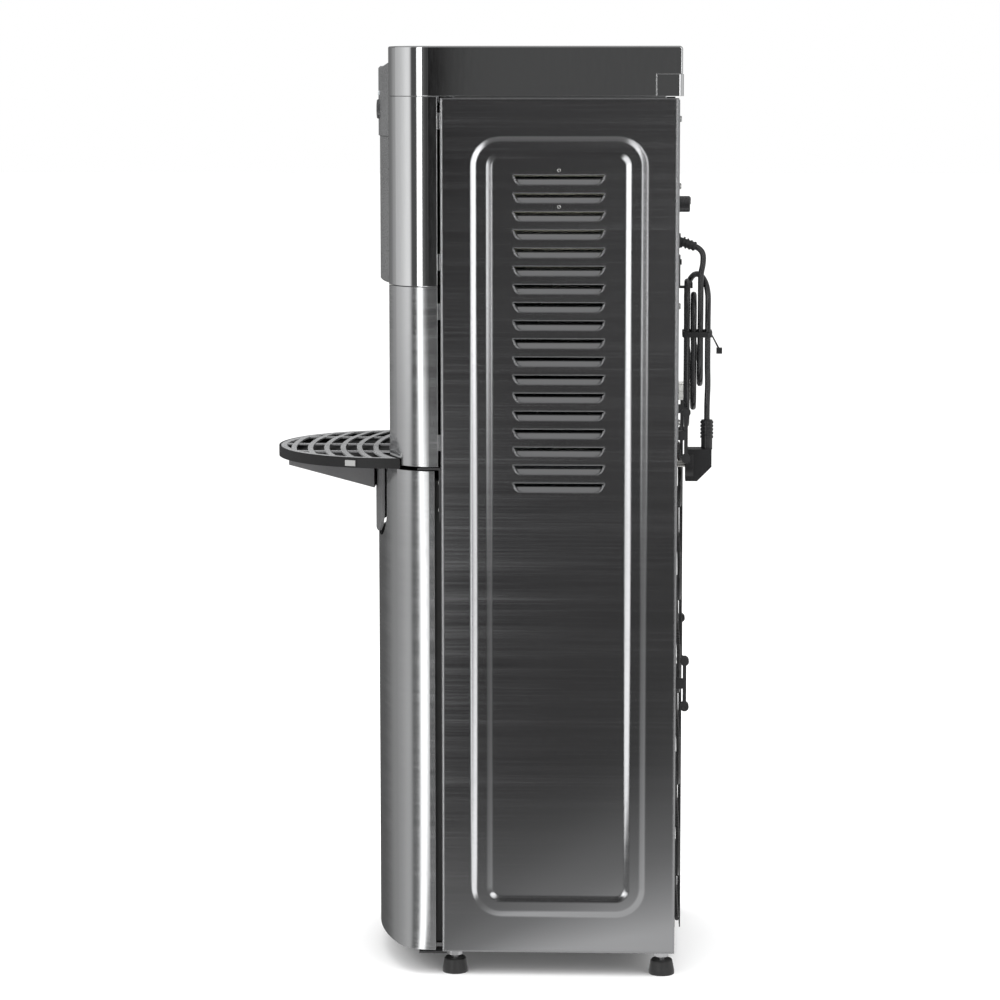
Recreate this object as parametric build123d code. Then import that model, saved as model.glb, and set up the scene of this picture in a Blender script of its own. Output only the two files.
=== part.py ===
"""Bottom-load water cooler: free-standing cabinet with a bottle bay behind the door.

Millimetres. +Z is up, the front faces -Y, and the origin is on the floor under the
middle of the side panels. Right means +X, seen from the front.
"""

from build123d import *
import math
import os

# ---- Overall cabinet ----
BODY_WIDTH = 310.0
BODY_DEPTH = 264.0
OVERALL_HEIGHT = 1050.0
FLOOR_GAP = 27.2
LID_HEIGHT = 55.0
SHEET_T = 1.2
SEAM = 0.4

SIDE_X = BODY_WIDTH / 2
SIDE_FRONT_Y = -BODY_DEPTH / 2
SIDE_REAR_Y = BODY_DEPTH / 2
LID_Z = OVERALL_HEIGHT - LID_HEIGHT

# ---- Bowed front, seen from above ----
BOW_DEPTH = 81.3
BOW_UNDER_WIDTH = 13.0
BOW_RADIUS = BODY_WIDTH - BOW_UNDER_WIDTH
CORNER_RADIUS = 42.0
FRONT_Y = SIDE_FRONT_Y - BOW_DEPTH
BOW_CENTRE_Y = FRONT_Y + BOW_RADIUS

# ---- Side panels ----
PANEL_TOP_GAP = 2.0
SIDE_FLANGE = 14.0
END_FLANGE = 10.0
ROLL_RADIUS = 2.0
EMBOSS_INSET_Y = 34.2
EMBOSS_INSET_Z = 42.0
EMBOSS_BAND = 23.4
EMBOSS_FLANK = 6.0
EMBOSS_CORNER = 33.0
EMBOSS_RISE = 1.5
PANEL_Z0 = FLOOR_GAP
PANEL_Z1 = LID_Z - PANEL_TOP_GAP

# ---- Louvres ----
LOUVRE_COUNT = 18
LOUVRE_PITCH = 20.2
LOUVRE_TOP_DROP = 84.6
LOUVRE_WIDTH = 100.5
LOUVRE_FOOT_WIDTH = 81.0
LOUVRE_HEIGHT = 10.5
LOUVRE_END_FACETS = 4
LOUVRE_DEPTH = 5.0
LOUVRE_SLIT = 1.6
LOUVRE_SKIN = 1.0
RIVET_RADIUS = 2.2
RIVET_RISE = 0.8
RIVET_DROPS = (79.3, 119.6)

# ---- Fascias round the front corners ----
FASCIA_WALL = 2.0
FASCIA_GAP = 3.0
FASCIA_REAR_Y = SIDE_FRONT_Y - FASCIA_GAP
WINDOW_HALF = SIDE_X - 45.0
MIDDLE_HEIGHT = 201.3
UPPER_HEIGHT = 210.7
RIB_LENGTH = 18.0
RIB_INSET = 11.0

# ---- Door: it takes up the height that the fascias leave ----
DOOR_FOOT_GAP = 1.5
DOOR_HEAD_GAP = 5.0
DOOR_GAP = 7.0
DOOR_LINER_T = 2.5
UPPER_Z0 = LID_Z - UPPER_HEIGHT
MIDDLE_Z0 = UPPER_Z0 - MIDDLE_HEIGHT
DOOR_Z0 = PANEL_Z0 + DOOR_FOOT_GAP
DOOR_Z1 = MIDDLE_Z0 - DOOR_HEAD_GAP
DOOR_HEIGHT = DOOR_Z1 - DOOR_Z0
DOOR_REAR_Y = SIDE_FRONT_Y - DOOR_GAP
RECESS_HALF = SIDE_X - 29.0
RECESS_Y = FRONT_Y + 41.3
RECESS_FOOT = 14.0
RECESS_HEAD = 90.0
GASKET_WIDTH = 8.0
GASKET_GAP = 0.5
GASKET_INSET = 9.0
SOCKET_HALF = SIDE_X - 58.0
SOCKET_DROP = 86.0
SOCKET_CORNER = 36.0
SOCKET_DEPTH = 12.0
HINGE_INSET_X = 8.0
HINGE_INSET_Y = 11.0
HINGE_PIN_R = 3.0
HINGE_PLATE_T = 2.5
HINGE_PIN_REACH = 18.0
RUNNING_GAP = 0.07
HINGE_X = SIDE_X - HINGE_INSET_X
HINGE_Y = DOOR_REAR_Y - HINGE_INSET_Y

# ---- Drip tray and its bracket on the door ----
TRAY_RADIUS = SIDE_X - 15.0
TRAY_CENTRE_Y = FRONT_Y + 23.3
TRAY_HEIGHT = 11.5
TRAY_WALL = 2.0
TRAY_LIFT = 1.0
TONGUE_HALF = SIDE_X - 67.0
TONGUE_REAR_Y = SIDE_FRONT_Y - 13.0
TONGUE_LIFT = 5.5
TRAY_CLEAR = 1.0
CATCH_FORWARD = 52.0
CATCH_LENGTH = 13.5
CATCH_FOOT = 1.4
CATCH_HEIGHT = 7.6
CATCH_PROUD = 0.8
GRILLE_T = 2.0
GRILLE_CLEAR = 0.4
GRILLE_RIM = 7.0
GRILLE_BAR = 4.6
GRILLE_ARC_BAR = 6.0
GRILLE_ARC_RADIUS = 400.0
GRILLE_ARC_PITCH = 19.0
GRILLE_BAR_PITCH = 69.0
PLATE_HALF = SIDE_X - 67.0
PLATE_DROP = 81.0
PLATE_CORNER = 30.0
PLATE_PROUD = 3.0
PLATE_T = 3.0
ARM_HALF = 55.0
ARM_REACH = 100.0
ARM_ROOT_DROP = 32.0
ARM_TIP_DROP = 6.0
TRAY_Z0 = DOOR_Z1 + TRAY_LIFT
TRAY_Z1 = TRAY_Z0 + TRAY_HEIGHT

# ---- Dispensing niche and visor ----
NICHE_REAR_Y = SIDE_FRONT_Y - 5.0
NICHE_WALL = 2.0
NICHE_FLOOR_LIFT = 3.0
VISOR_RECESS = 3.5
VISOR_WALL = 3.0
VISOR_NOSE_RADIUS = 12.0
VISOR_SIDE_GAP = 0.6
PANEL_RECESS = 2.0
PANEL_SEAM_DROP = 45.0
PANEL_SHOULDER = 33.5
PANEL_BROW = 2.2
PANEL_SHOULDER_Y = FRONT_Y + 13.3
PANEL_TOP_DROP = 5.0
LID_NOTCH_Y = SIDE_FRONT_Y - 33.0
WEB_Y = SIDE_FRONT_Y - 28.0
WEB_T = 2.5
NOZZLE_X = (-50.0, 0.0, 50.0)
NOZZLE_Y = FRONT_Y + 23.3
NOZZLE_RADIUS = 7.0
NOZZLE_BORE = 3.0
NOZZLE_DROP = 20.0
BUTTON_X = (-45.0, 0.0, 45.0)
BUTTON_RADIUS = 11.0
BUTTON_CLEAR = 0.3
BUTTON_PROUD = 0.8
BUTTON_TRAVEL = 2.0
BUTTON_Z_OFFSET = 30.0
LENS_RADIUS = 2.5
LENS_RISE = 18.0
BUTTON_FLANGE = 1.6
BOARD_T = 1.6
POWER_WIDTH = 96.0
POWER_HEIGHT = 90.0
POWER_SIDE_GAP = 59.0
POWER_DROP = 67.0
POWER_POST_INSET = 6.0
POWER_POST_R = 2.5

VISOR_Z0 = UPPER_Z0 + 0.7
PANEL_SEAM_Z = LID_Z - PANEL_SEAM_DROP
BUTTON_Z = PANEL_SEAM_Z + BUTTON_Z_OFFSET

# ---- Lid ----
LID_WALL = 3.0
LID_REAR_Y = SIDE_REAR_Y + 4.0
LID_EDGE = 2.0
LID_REAR_ROUND = 4.0
LID_LIP_INSET = 10.5
LID_LIP_DROP = 6.5
CORNER_BLOCK_LENGTH = 29.0
CORNER_BLOCK_HEIGHT = 24.5
CORNER_BLOCK_PROUD = 1.0

# ---- Base, feet ----
BASE_FLANGE = 12.0
FOOT_INSET_X = 17.0
FOOT_INSET_Y = 14.2
FOOT_RADIUS = 14.6
FOOT_NECK_RADIUS = 12.4
FOOT_RIM = 3.5
FOOT_BEVEL = 1.2
FOOT_HEIGHT = 16.5
STUD_RADIUS = 4.0
STUD_TOP = 39.5
STUD_COLLAR_RADIUS = 8.0
STUD_COLLAR_T = 4.0
STUD_NUT_T = 8.5
BASE_Z = PANEL_Z0 + SHEET_T
FOOT_X = SIDE_X - FOOT_INSET_X
FOOT_Y = SIDE_REAR_Y - FOOT_INSET_Y

# ---- Shelves and rear ----
SHELF_LIFT = 5.0
SHELF_T = 1.5
SHELF_APRON = 24.0
SHELF_UPTURN = 32.0
TUBE_HOLE_OUT = 30.0
TANK_SHELF_Z = UPPER_Z0 + 5.2
BAY_REAR_Y = SIDE_REAR_Y - 20.0
REAR_SHEET_T = 1.0
REAR_OVERLAP = 5.0
REAR_SHEET_LIFT = 23.0
SHELF_Z = MIDDLE_Z0 + SHELF_LIFT
REAR_UPPER_Z0 = SHELF_Z + REAR_SHEET_LIFT
REAR_SKIN_Y = SIDE_REAR_Y + SHEET_T
SCREW_DROPS = (23.0, 97.0, 230.0, 360.0)
SCREW_R = 3.4
SCREW_RISE = 2.0

# ---- Condenser on the lower rear ----
CONDENSER_Y = REAR_SKIN_Y + 3.0
CONDENSER_TUBE_R = 2.4
CONDENSER_RUNS = 11
CONDENSER_X0 = 43.0 - SIDE_X
CONDENSER_X1 = SIDE_X - 65.0
CONDENSER_Z0 = 45.0
CONDENSER_Z1 = SHELF_Z - 3.0
CONDENSER_PITCH = (CONDENSER_Z1 - CONDENSER_Z0) / (CONDENSER_RUNS - 1)
CONDENSER_WIRE_R = 0.7
CONDENSER_WIRE_PITCH = 12.0
CONDENSER_WIRE_GAP = 0.05
CONDENSER_WIRE_HEAD = 21.0
CONDENSER_WIRE_FOOT = 8.0
SPACER_X = SIDE_X - 16.0
SPACER_Z = (SHELF_Z - 252.0, SHELF_Z + 30.0)
SPACER_LENGTH = 62.0
SPACER_BULB_R = 5.0
SPACER_WIDTH = 11.0
SPACER_BAR = 4.0
SPACER_OUT = 10.0

# ---- Refrigeration and water inside ----
COMPRESSOR_R = BODY_WIDTH / 5
COMPRESSOR_SIDE_GAP = 38.0
COMPRESSOR_X = SIDE_X - COMPRESSOR_SIDE_GAP - COMPRESSOR_R
COMPRESSOR_Y = SIDE_REAR_Y - 98.0
COMPRESSOR_HEIGHT = 160.0
COMPRESSOR_FOOT = 11.0
COMPRESSOR_PLATE_T = 3.0
GROMMET_R = 9.0
GROMMET_INSET = 12.0
GROMMET_SPACING = 2 * (COMPRESSOR_R - GROMMET_INSET)
RELAY_SIZE = 46.0
JACKET_T = 13.0
JACKET_FLOOR = 12.0
JACKET_SIDE_GAP = 10.0
JACKET_GAP = 12.0
JACKET_X1 = COMPRESSOR_X - COMPRESSOR_R - JACKET_GAP
HOT_R = (JACKET_X1 + SIDE_X - JACKET_SIDE_GAP) / 2 - JACKET_T
HOT_X = JACKET_X1 - JACKET_T - HOT_R
HOT_Y = SIDE_REAR_Y - 96.0
HOT_HEIGHT = 176.0
INSIDE_GAP = 0.3
COLD_Y = -8.0
COLD_R = 88.0
COLD_HEIGHT = 150.0
COIL_TUBE_R = 3.5
COIL_TURNS = 5
COIL_PITCH = 14.0
FOAM_HALF_X = SIDE_X - 31.0
FOAM_HALF_Y = SIDE_REAR_Y - 22.0
FOAM_FLOOR = 16.0
FOAM_HEIGHT = 186.0
PUMP_X = 57.0 - SIDE_X
PUMP_Y = SIDE_FRONT_Y + 46.0
PUMP_R = 21.0
PUMP_HEIGHT = 54.0
HOSE_R = 4.5
HOSE_FRONT_GAP = 34.0
PIPE_R = 3.0

# ---- Bottle probe, parked in the rear right corner of the bay ----
PROBE_X = SIDE_X - 26.0
PROBE_Y = SIDE_REAR_Y - 44.0
PROBE_COLLAR_R = 16.0
PROBE_COLLAR_HEIGHT = 24.0
PROBE_TUBE_R = 6.0
PROBE_LENGTH = DOOR_HEIGHT - 129.3
PROBE_HANG = 95.0
HANGER_T = 1.5

# ---- Rear controls ----
KNOB_X = SIDE_X - 37.0
KNOB_Z = LID_Z - 119.7
KNOB_RADIUS = 9.0
KNOB_LENGTH = 11.8
KNOB_SHAFT_R = 3.0
SWITCH_X = 57.0 - SIDE_X
SWITCH_Z = LID_Z - 90.0
SWITCH_SPACING = 21.0
ROCKER_WIDTH = 15.0
ROCKER_HEIGHT = 21.0
ROCKER_DEPTH = 12.0
ROCKER_TILT = 8.0
ROCKER_CLEAR = 1.2
BEZEL_PROUD = 1.6
DRAIN_X = -40.0
DRAIN_Z = SHELF_Z + 62.0
DRAIN_R = 7.0
DRAIN_CAP_R = 11.0
DRAIN_OUT = 15.0

# ---- Mains cord ----
CORD_R = 3.3
CORD_X = SIDE_X - 45.0
RELIEF_Z = LID_Z - 161.0
RELIEF_TILT = 20.0
RELIEF_R = 6.3
RELIEF_LENGTH = 20.0
HANK_TURN_R = 20.0
HANK_WAIST_R = 13.0
HANK_OUTER_STEP = 8.0
HOOK_PLATE_TOP = LID_Z - 178.0
HANK_LAYER_Y = tuple(REAR_SKIN_Y + out for out in (24.8, 17.4, 10.0))
HANK_WAIST_Z = HOOK_PLATE_TOP - 89.0
HANK_WAIST_STRAIGHT = 4.5
HANK_FOOT_Z = tuple(HOOK_PLATE_TOP - drop for drop in (145.4, 172.3, 192.2))
HANK_HEAD_Z = tuple(HOOK_PLATE_TOP - drop for drop in (44.7, 29.9))
HANK_CROSSING_Z = HOOK_PLATE_TOP - 48.5
LEAD_Y = REAR_SKIN_Y + 27.4
LEAD_DROPS = (14.0, 25.5, 37.0)
LEAD_END_Z = HOOK_PLATE_TOP - 31.0
TAIL_Y = REAR_SKIN_Y + 33.2
TAIL_START_Z = HOOK_PLATE_TOP - 115.0
TAIL_DROPS = (12.0, 30.0, 49.0, 60.0)
PLUG_X = CORD_X - 4.0
PLUG_FACE_Y = REAR_SKIN_Y + 8.6
PLUG_Z = HOOK_PLATE_TOP - 235.4
PLUG_RADIUS = 18.0
PLUG_HALF_WIDTH = 13.0
PLUG_DEPTH = 29.5
PLUG_CHAMFER = 16.3
PLUG_CORD_Y = PLUG_FACE_Y + 24.2
PLUG_NECK_R = 6.4
PLUG_BOOT_R = 7.4
PLUG_BOOT_Z = PLUG_Z + 30.0
PLUG_BOOT_LENGTH = 20.4
PLUG_RIBS = 5
PLUG_PIN_R = 2.4
PLUG_PIN_LENGTH = 19.0
PLUG_PIN_SPACING = 19.0
TIE_T = 1.5
TIE_HEIGHT = 6.0
TIE_CLEAR = 0.4
TIE_TAIL_OUT = 9.0
TIE_TAIL_DROP = 17.0
HOOK_WIDTH = 14.0
HOOK_T = 2.2
HANK_X = CORD_X - HANK_TURN_R


# ---- Plain shapes ----
def box(x0, x1, y0, y1, z0, z1):
    """A block between two corners."""
    middle = Pos((x0 + x1) / 2, (y0 + y1) / 2, (z0 + z1) / 2)
    return middle * Box(x1 - x0, y1 - y0, z1 - z0)


def post(x, y, z0, z1, radius):
    """An upright cylinder."""
    return Pos(x, y, (z0 + z1) / 2) * Cylinder(radius, z1 - z0)


def rod_y(x, z, y0, y1, radius):
    """A cylinder lying front to back."""
    return Pos(x, (y0 + y1) / 2, z) * Rot(90, 0, 0) * Cylinder(radius, y1 - y0)


def rod_x(y, z, x0, x1, radius):
    """A cylinder lying side to side."""
    return Pos((x0 + x1) / 2, y, z) * Rot(0, 90, 0) * Cylinder(radius, x1 - x0)


def side_slab(points, x0, x1):
    """A (Y, Z) outline carried from x0 to x1."""
    return extrude(Plane.YZ.offset(x0) * Polygon(*points, align=None), x1 - x0, dir=(1, 0, 0))


def front_slab(sketch, y0, y1):
    """An (X, Z) sketch carried from y1 forward to y0."""
    return extrude(Plane.XZ.offset(-y1) * sketch, y1 - y0, dir=(0, -1, 0))


def wide_sketch(x0, x1, z0, z1, corner=0.0):
    """A rectangle of (X, Z), with round corners if a radius is given."""
    if corner:
        plain = RectangleRounded(x1 - x0, z1 - z0, corner)
    else:
        plain = Rectangle(x1 - x0, z1 - z0)
    return Pos((x0 + x1) / 2, (z0 + z1) / 2) * plain


def mirrored(shape):
    """The same shape on the other side of the cabinet."""
    return mirror(shape, about=Plane.YZ)


# ---- The bowed front ----
def bow_y(x, inset=0.0):
    """Where the bowed front lies at x, drawn in by inset."""
    return BOW_CENTRE_Y - math.sqrt((BOW_RADIUS - inset) ** 2 - x * x)


def front_plan(inset=0.0, rear=FASCIA_REAR_Y):
    """The bowed outline from above, drawn in by inset, back to the line rear."""
    half = SIDE_X - inset
    front = FRONT_Y - BOW_RADIUS
    bow = Pos(0, BOW_CENTRE_Y) * Circle(BOW_RADIUS - inset)
    strip = Pos(0, (front + rear) / 2) * Rectangle(2 * half, rear - front)
    plan = bow & strip
    corners = plan.vertices().sort_by(Axis.Y)[:2]
    return fillet(corners, CORNER_RADIUS - inset)


def front_block(z0, z1, inset=0.0, rear=FASCIA_REAR_Y):
    """The solid under the bowed outline, from z0 to z1."""
    return extrude(Pos(0, 0, z0) * front_plan(inset, rear), z1 - z0)


def front_shell(z0, z1, wall, rear):
    """A wall that follows the bowed outline and is open at the rear."""
    return front_block(z0, z1, 0.0, rear) - front_block(z0 - 1, z1 + 1, wall, rear + 1)


# ---- Cabinet ----
def louvre_plan(inset, z0, z1):
    """A louvre's (Y, Z) outline: straight head, rounded down to a narrower foot."""
    foot = LOUVRE_FOOT_WIDTH / 2 - inset
    reach = (LOUVRE_WIDTH - LOUVRE_FOOT_WIDTH) / 2
    end = []
    for k in range(LOUVRE_END_FACETS + 1):
        angle = math.pi / 2 * k / LOUVRE_END_FACETS
        end.append((foot + reach * math.sin(angle), z1 - (z1 - z0) * math.cos(angle)))
    return end + [(-y, z) for y, z in reversed(end)]


def louvre_wedge(points):
    """An (X, Z) outline carried across the louvre's width."""
    half = LOUVRE_WIDTH
    return front_slab(Polygon(*points, align=None), -half, half)


def louvre_scoop(head_z):
    """The pressed-in blade and its two cheeks, open along the head."""
    foot_z = head_z - LOUVRE_HEIGHT
    lip_z = head_z - LOUVRE_SLIT
    outer_x = SIDE_X
    deep_x = SIDE_X - LOUVRE_DEPTH
    under = [(outer_x, foot_z), (outer_x, lip_z), (deep_x - LOUVRE_SKIN, lip_z), (outer_x - SHEET_T, foot_z)]
    over = [
        (outer_x, foot_z),
        (outer_x + 1, foot_z),
        (outer_x + 1, head_z),
        (deep_x, head_z),
        (deep_x, lip_z),
    ]
    reach = LOUVRE_DEPTH + LOUVRE_SKIN + 2
    whole = side_slab(louvre_plan(0, foot_z, head_z), SIDE_X - reach, SIDE_X)
    hollow = side_slab(louvre_plan(LOUVRE_SKIN, foot_z, head_z), SIDE_X - reach, SIDE_X + 1)
    return (whole & louvre_wedge(under)) - (hollow & louvre_wedge(over))


def louvre_heads():
    """The height of each louvre's straight head."""
    return [PANEL_Z1 - LOUVRE_TOP_DROP - LOUVRE_PITCH * k for k in range(LOUVRE_COUNT)]


def emboss_outline(inset, rise):
    """The emboss's rounded rectangle, inset and raised off the panel."""
    width = BODY_DEPTH - 2 * EMBOSS_INSET_Y - 2 * inset
    height = PANEL_Z1 - PANEL_Z0 - 2 * EMBOSS_INSET_Z - 2 * inset
    middle = Pos(0, (PANEL_Z0 + PANEL_Z1) / 2)
    return Plane.YZ.offset(SIDE_X + rise) * middle * RectangleRounded(width, height, EMBOSS_CORNER - inset)


def emboss_band():
    """The raised band round the side panel, with a sloping flank on each side."""
    crest = EMBOSS_BAND - EMBOSS_FLANK
    whole = loft([emboss_outline(0, 0), emboss_outline(EMBOSS_FLANK, EMBOSS_RISE)], ruled=True)
    return whole - loft([emboss_outline(EMBOSS_BAND, 0), emboss_outline(crest, EMBOSS_RISE)], ruled=True)


def side_panel():
    """The right side panel: folded steel, with an embossed band and louvres."""
    back = SIDE_X - SHEET_T
    sheet = box(back, SIDE_X, SIDE_FRONT_Y, SIDE_REAR_Y, PANEL_Z0, PANEL_Z1)
    deep = SIDE_X - SIDE_FLANGE
    shallow = SIDE_X - END_FLANGE
    sheet += box(deep, back, SIDE_FRONT_Y, SIDE_FRONT_Y + SHEET_T, PANEL_Z0, PANEL_Z1)
    sheet += box(deep, back, SIDE_REAR_Y - SHEET_T, SIDE_REAR_Y, PANEL_Z0, PANEL_Z1)
    sheet += box(shallow, back, SIDE_FRONT_Y, SIDE_REAR_Y, PANEL_Z0, PANEL_Z0 + SHEET_T)
    sheet += box(shallow, back, SIDE_FRONT_Y, SIDE_REAR_Y, PANEL_Z1 - SHEET_T, PANEL_Z1)
    rolled = sheet.edges().filter_by(Axis.Z).group_by(Axis.X)[-1]
    sheet = fillet(rolled, ROLL_RADIUS)
    heads = louvre_heads()
    slots = [side_slab(louvre_plan(0, z - LOUVRE_HEIGHT, z), back - 1, SIDE_X + 1) for z in heads]
    scoops = [louvre_scoop(z) for z in heads]
    sheet = sheet - slots
    return sheet + scoops + emboss_band()


def base_pan():
    """The floor of the cabinet, folded up in front and behind, holed for the foot studs."""
    x = SIDE_X - SHEET_T - INSIDE_GAP
    y = SIDE_REAR_Y - SHEET_T
    pan = box(-x, x, -y, y, BASE_Z, BASE_Z + BASE_FLANGE)
    pan -= box(-SIDE_X, SIDE_X, -y + SHEET_T, y - SHEET_T, BASE_Z + SHEET_T, BASE_Z + BASE_FLANGE + 1)
    for fx, fy in foot_places():
        pan -= post(fx, fy, BASE_Z - 1, BASE_Z + SHEET_T + 1, STUD_RADIUS + RUNNING_GAP)
    return pan


def mid_shelf():
    """The steel shelf over the bottle bay, with a front apron and the probe's hanger."""
    x = SIDE_X - SHEET_T - INSIDE_GAP
    y = SIDE_REAR_Y - SHEET_T
    shelf = box(-x, x, -y, y, SHELF_Z, SHELF_Z + SHELF_T)
    shelf += box(-x, x, -y, -y + SHELF_T, SHELF_Z - SHELF_APRON, SHELF_Z)
    shelf += box(-x, x, y - SHELF_T, y, SHELF_Z + SHELF_T, SHELF_Z + SHELF_UPTURN)
    shelf -= post(PROBE_X, PROBE_Y, SHELF_Z - 1, SHELF_Z + SHELF_T + 1, HOSE_R + 2)
    pipe_y = discharge_drop_y()
    shelf -= post(discharge_x(), pipe_y, SHELF_Z - 1, SHELF_Z + SHELF_T + 1, PIPE_R + 2)
    return shelf + probe_hanger()


def probe_hanger():
    """A bent tab under the shelf with a forked seat for the probe's collar."""
    seat_z = SHELF_Z - PROBE_HANG
    left = PROBE_X - PROBE_COLLAR_R
    rear = PROBE_Y + PROBE_COLLAR_R
    tab = box(left, PROBE_X + PROBE_COLLAR_R, rear, rear + HANGER_T, seat_z, SHELF_Z)
    seat = box(left, PROBE_X + PROBE_COLLAR_R, PROBE_Y - 4, rear, seat_z, seat_z + HANGER_T)
    slot_half = PROBE_TUBE_R + 1
    seat -= box(PROBE_X - slot_half, PROBE_X + slot_half, PROBE_Y - 5, PROBE_Y, seat_z - 1, seat_z + 3)
    seat -= post(PROBE_X, PROBE_Y, seat_z - 1, seat_z + 3, slot_half)
    return tab + seat


def tank_shelf():
    """The upper shelf that carries the cold tank's foam."""
    x = SIDE_X - SHEET_T - INSIDE_GAP
    y = SIDE_REAR_Y - SHEET_T
    clear_x = SIDE_X - LOUVRE_DEPTH - LOUVRE_SKIN - 2 * INSIDE_GAP
    clear_y = LOUVRE_WIDTH / 2 + 5
    shelf = box(-clear_x, clear_x, -y, y, TANK_SHELF_Z, TANK_SHELF_Z + SHEET_T)
    for y0, y1 in ((-y, -clear_y), (clear_y, y)):
        tab = box(clear_x - 1, x, y0, y1, TANK_SHELF_Z, TANK_SHELF_Z + SHEET_T)
        tab += box(x - SHEET_T, x, y0, y1, TANK_SHELF_Z - 14, TANK_SHELF_Z)
        shelf = shelf + tab + mirrored(tab)
    for hole_x, hole_y in ((HOT_X, PUMP_Y), (COMPRESSOR_X + TUBE_HOLE_OUT, PUMP_Y)):
        shelf -= post(hole_x, hole_y, TANK_SHELF_Z - 1, TANK_SHELF_Z + SHEET_T + 1, HOSE_R + 3)
    return shelf


def rear_panel_lower():
    """The recessed steel back of the bottle bay, flanged to the sides and folded into its floor."""
    x = SIDE_X - SHEET_T - INSIDE_GAP
    z0 = BASE_Z + SHEET_T
    flange_y = BAY_REAR_Y + 16
    panel = box(-x, x, BAY_REAR_Y, flange_y, z0, SHELF_Z - INSIDE_GAP)
    inner = box(-x + SHEET_T, x - SHEET_T, BAY_REAR_Y + REAR_SHEET_T, flange_y + 1, z0 - 1, SHELF_Z)
    panel -= inner
    clear = STUD_COLLAR_RADIUS + 1.5
    for side in (-1, 1):
        stud_x = side * FOOT_X
        panel -= box(stud_x - clear, stud_x + clear, BAY_REAR_Y - 1, BAY_REAR_Y + 2, z0 - 1, bay_floor_z() - 3)
    front = SIDE_FRONT_Y + SHEET_T + INSIDE_GAP
    return panel + box(-x, x, front, BAY_REAR_Y + REAR_SHEET_T, bay_floor_z() - REAR_SHEET_T, bay_floor_z())


def bay_floor_z():
    """The top of the bottle bay's floor, which rests on the base pan's front flange."""
    return BASE_Z + BASE_FLANGE + REAR_SHEET_T


def rear_panel_upper():
    """The sheet over the back of the machine space, screwed on from behind."""
    x = SIDE_X - REAR_OVERLAP
    sheet = box(-x, x, SIDE_REAR_Y, REAR_SKIN_Y, REAR_UPPER_Z0, PANEL_Z1 - 2)
    through = REAR_SKIN_Y + 1
    inside = SIDE_REAR_Y - 1
    sheet -= rod_y(KNOB_X, KNOB_Z, inside, through, KNOB_SHAFT_R + 1)
    sheet -= rod_y(DRAIN_X, DRAIN_Z, inside, through, DRAIN_R + 0.2)
    sheet -= rod_y(CORD_X, RELIEF_Z, inside, through, CORD_R + 1.2)
    half_x, half_z = bezel_half()
    hole = wide_sketch(SWITCH_X - half_x, SWITCH_X + half_x, SWITCH_Z - half_z, SWITCH_Z + half_z)
    return sheet - front_slab(hole, inside, through)


def lid_profile():
    """The lid's (Y, Z) outline, rounded at the rear of its top."""
    far = FRONT_Y - BOW_RADIUS
    corners = [(far, LID_Z), (LID_REAR_Y, LID_Z), (LID_REAR_Y, OVERALL_HEIGHT), (far, OVERALL_HEIGHT)]
    plain = Polygon(*corners, align=None)
    rear_top = plain.vertices().sort_by(Axis.X)[-2:].sort_by(Axis.Y)[-1]
    return fillet(rear_top, LID_REAR_ROUND)


def lid_body():
    """The lid's outer shape, with its top edge rounded at the front and the sides."""
    slab = extrude(Plane.YZ.offset(-SIDE_X - 1) * lid_profile(), BODY_WIDTH + 2)
    body = front_block(LID_Z, OVERALL_HEIGHT, 0, LID_REAR_Y) & slab
    rear_y = LID_REAR_Y - LID_REAR_ROUND - 1
    top_edges = [edge for edge in body.edges().group_by(Axis.Z)[-1] if edge.center().Y < rear_y]
    return fillet(top_edges, LID_EDGE)


def lid():
    """The hollow top lid, notched for the control panel."""
    half = WINDOW_HALF + SEAM
    notch = box(-half, half, FRONT_Y - 9, LID_NOTCH_Y, LID_Z - 1, OVERALL_HEIGHT + 1)
    keep_x = half + LID_WALL
    keep = box(-keep_x, keep_x, FRONT_Y - 9, LID_NOTCH_Y + LID_WALL, LID_Z - 9, OVERALL_HEIGHT + 1)
    room_rear = LID_REAR_Y - LID_WALL - LID_REAR_ROUND / 2
    room = front_block(LID_Z + LID_WALL, OVERALL_HEIGHT - LID_WALL, LID_WALL, room_rear)
    mouth_inset = LID_LIP_INSET + LID_WALL
    mouth = front_block(LID_Z - 1, LID_Z + LID_WALL + 1, mouth_inset, LID_REAR_Y - mouth_inset)
    lip_x = SIDE_X - LID_LIP_INSET
    lip_half = SIDE_REAR_Y - SIDE_FLANGE
    lip = box(lip_x - LID_WALL, lip_x, -lip_half, lip_half, LID_Z - LID_LIP_DROP, LID_Z + LID_WALL)
    body = lid_body() - (room - keep) - (mouth - keep) - notch
    body = body + lip + mirrored(lip)
    return body - corner_block_seat() - mirrored(corner_block_seat())


def corner_block_seat():
    """The pocket in the lid's rear right corner that takes the corner block."""
    return box(
        SIDE_X - LID_LIP_INSET,
        SIDE_X + 1,
        LID_REAR_Y - CORNER_BLOCK_LENGTH,
        LID_REAR_Y + 1,
        LID_Z - 1,
        LID_Z + CORNER_BLOCK_HEIGHT,
    )


def corner_block():
    """The block that closes the lid's lower rear right corner, a little proud."""
    block = box(
        SIDE_X - LID_LIP_INSET + SEAM,
        SIDE_X,
        LID_REAR_Y - CORNER_BLOCK_LENGTH + SEAM,
        LID_REAR_Y + CORNER_BLOCK_PROUD,
        LID_Z,
        LID_Z + CORNER_BLOCK_HEIGHT - SEAM,
    )
    rear_edge = block.edges().filter_by(Axis.Z).group_by(Axis.Y)[-1].sort_by(Axis.X)[-1]
    return fillet(rear_edge, 5.0)


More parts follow.
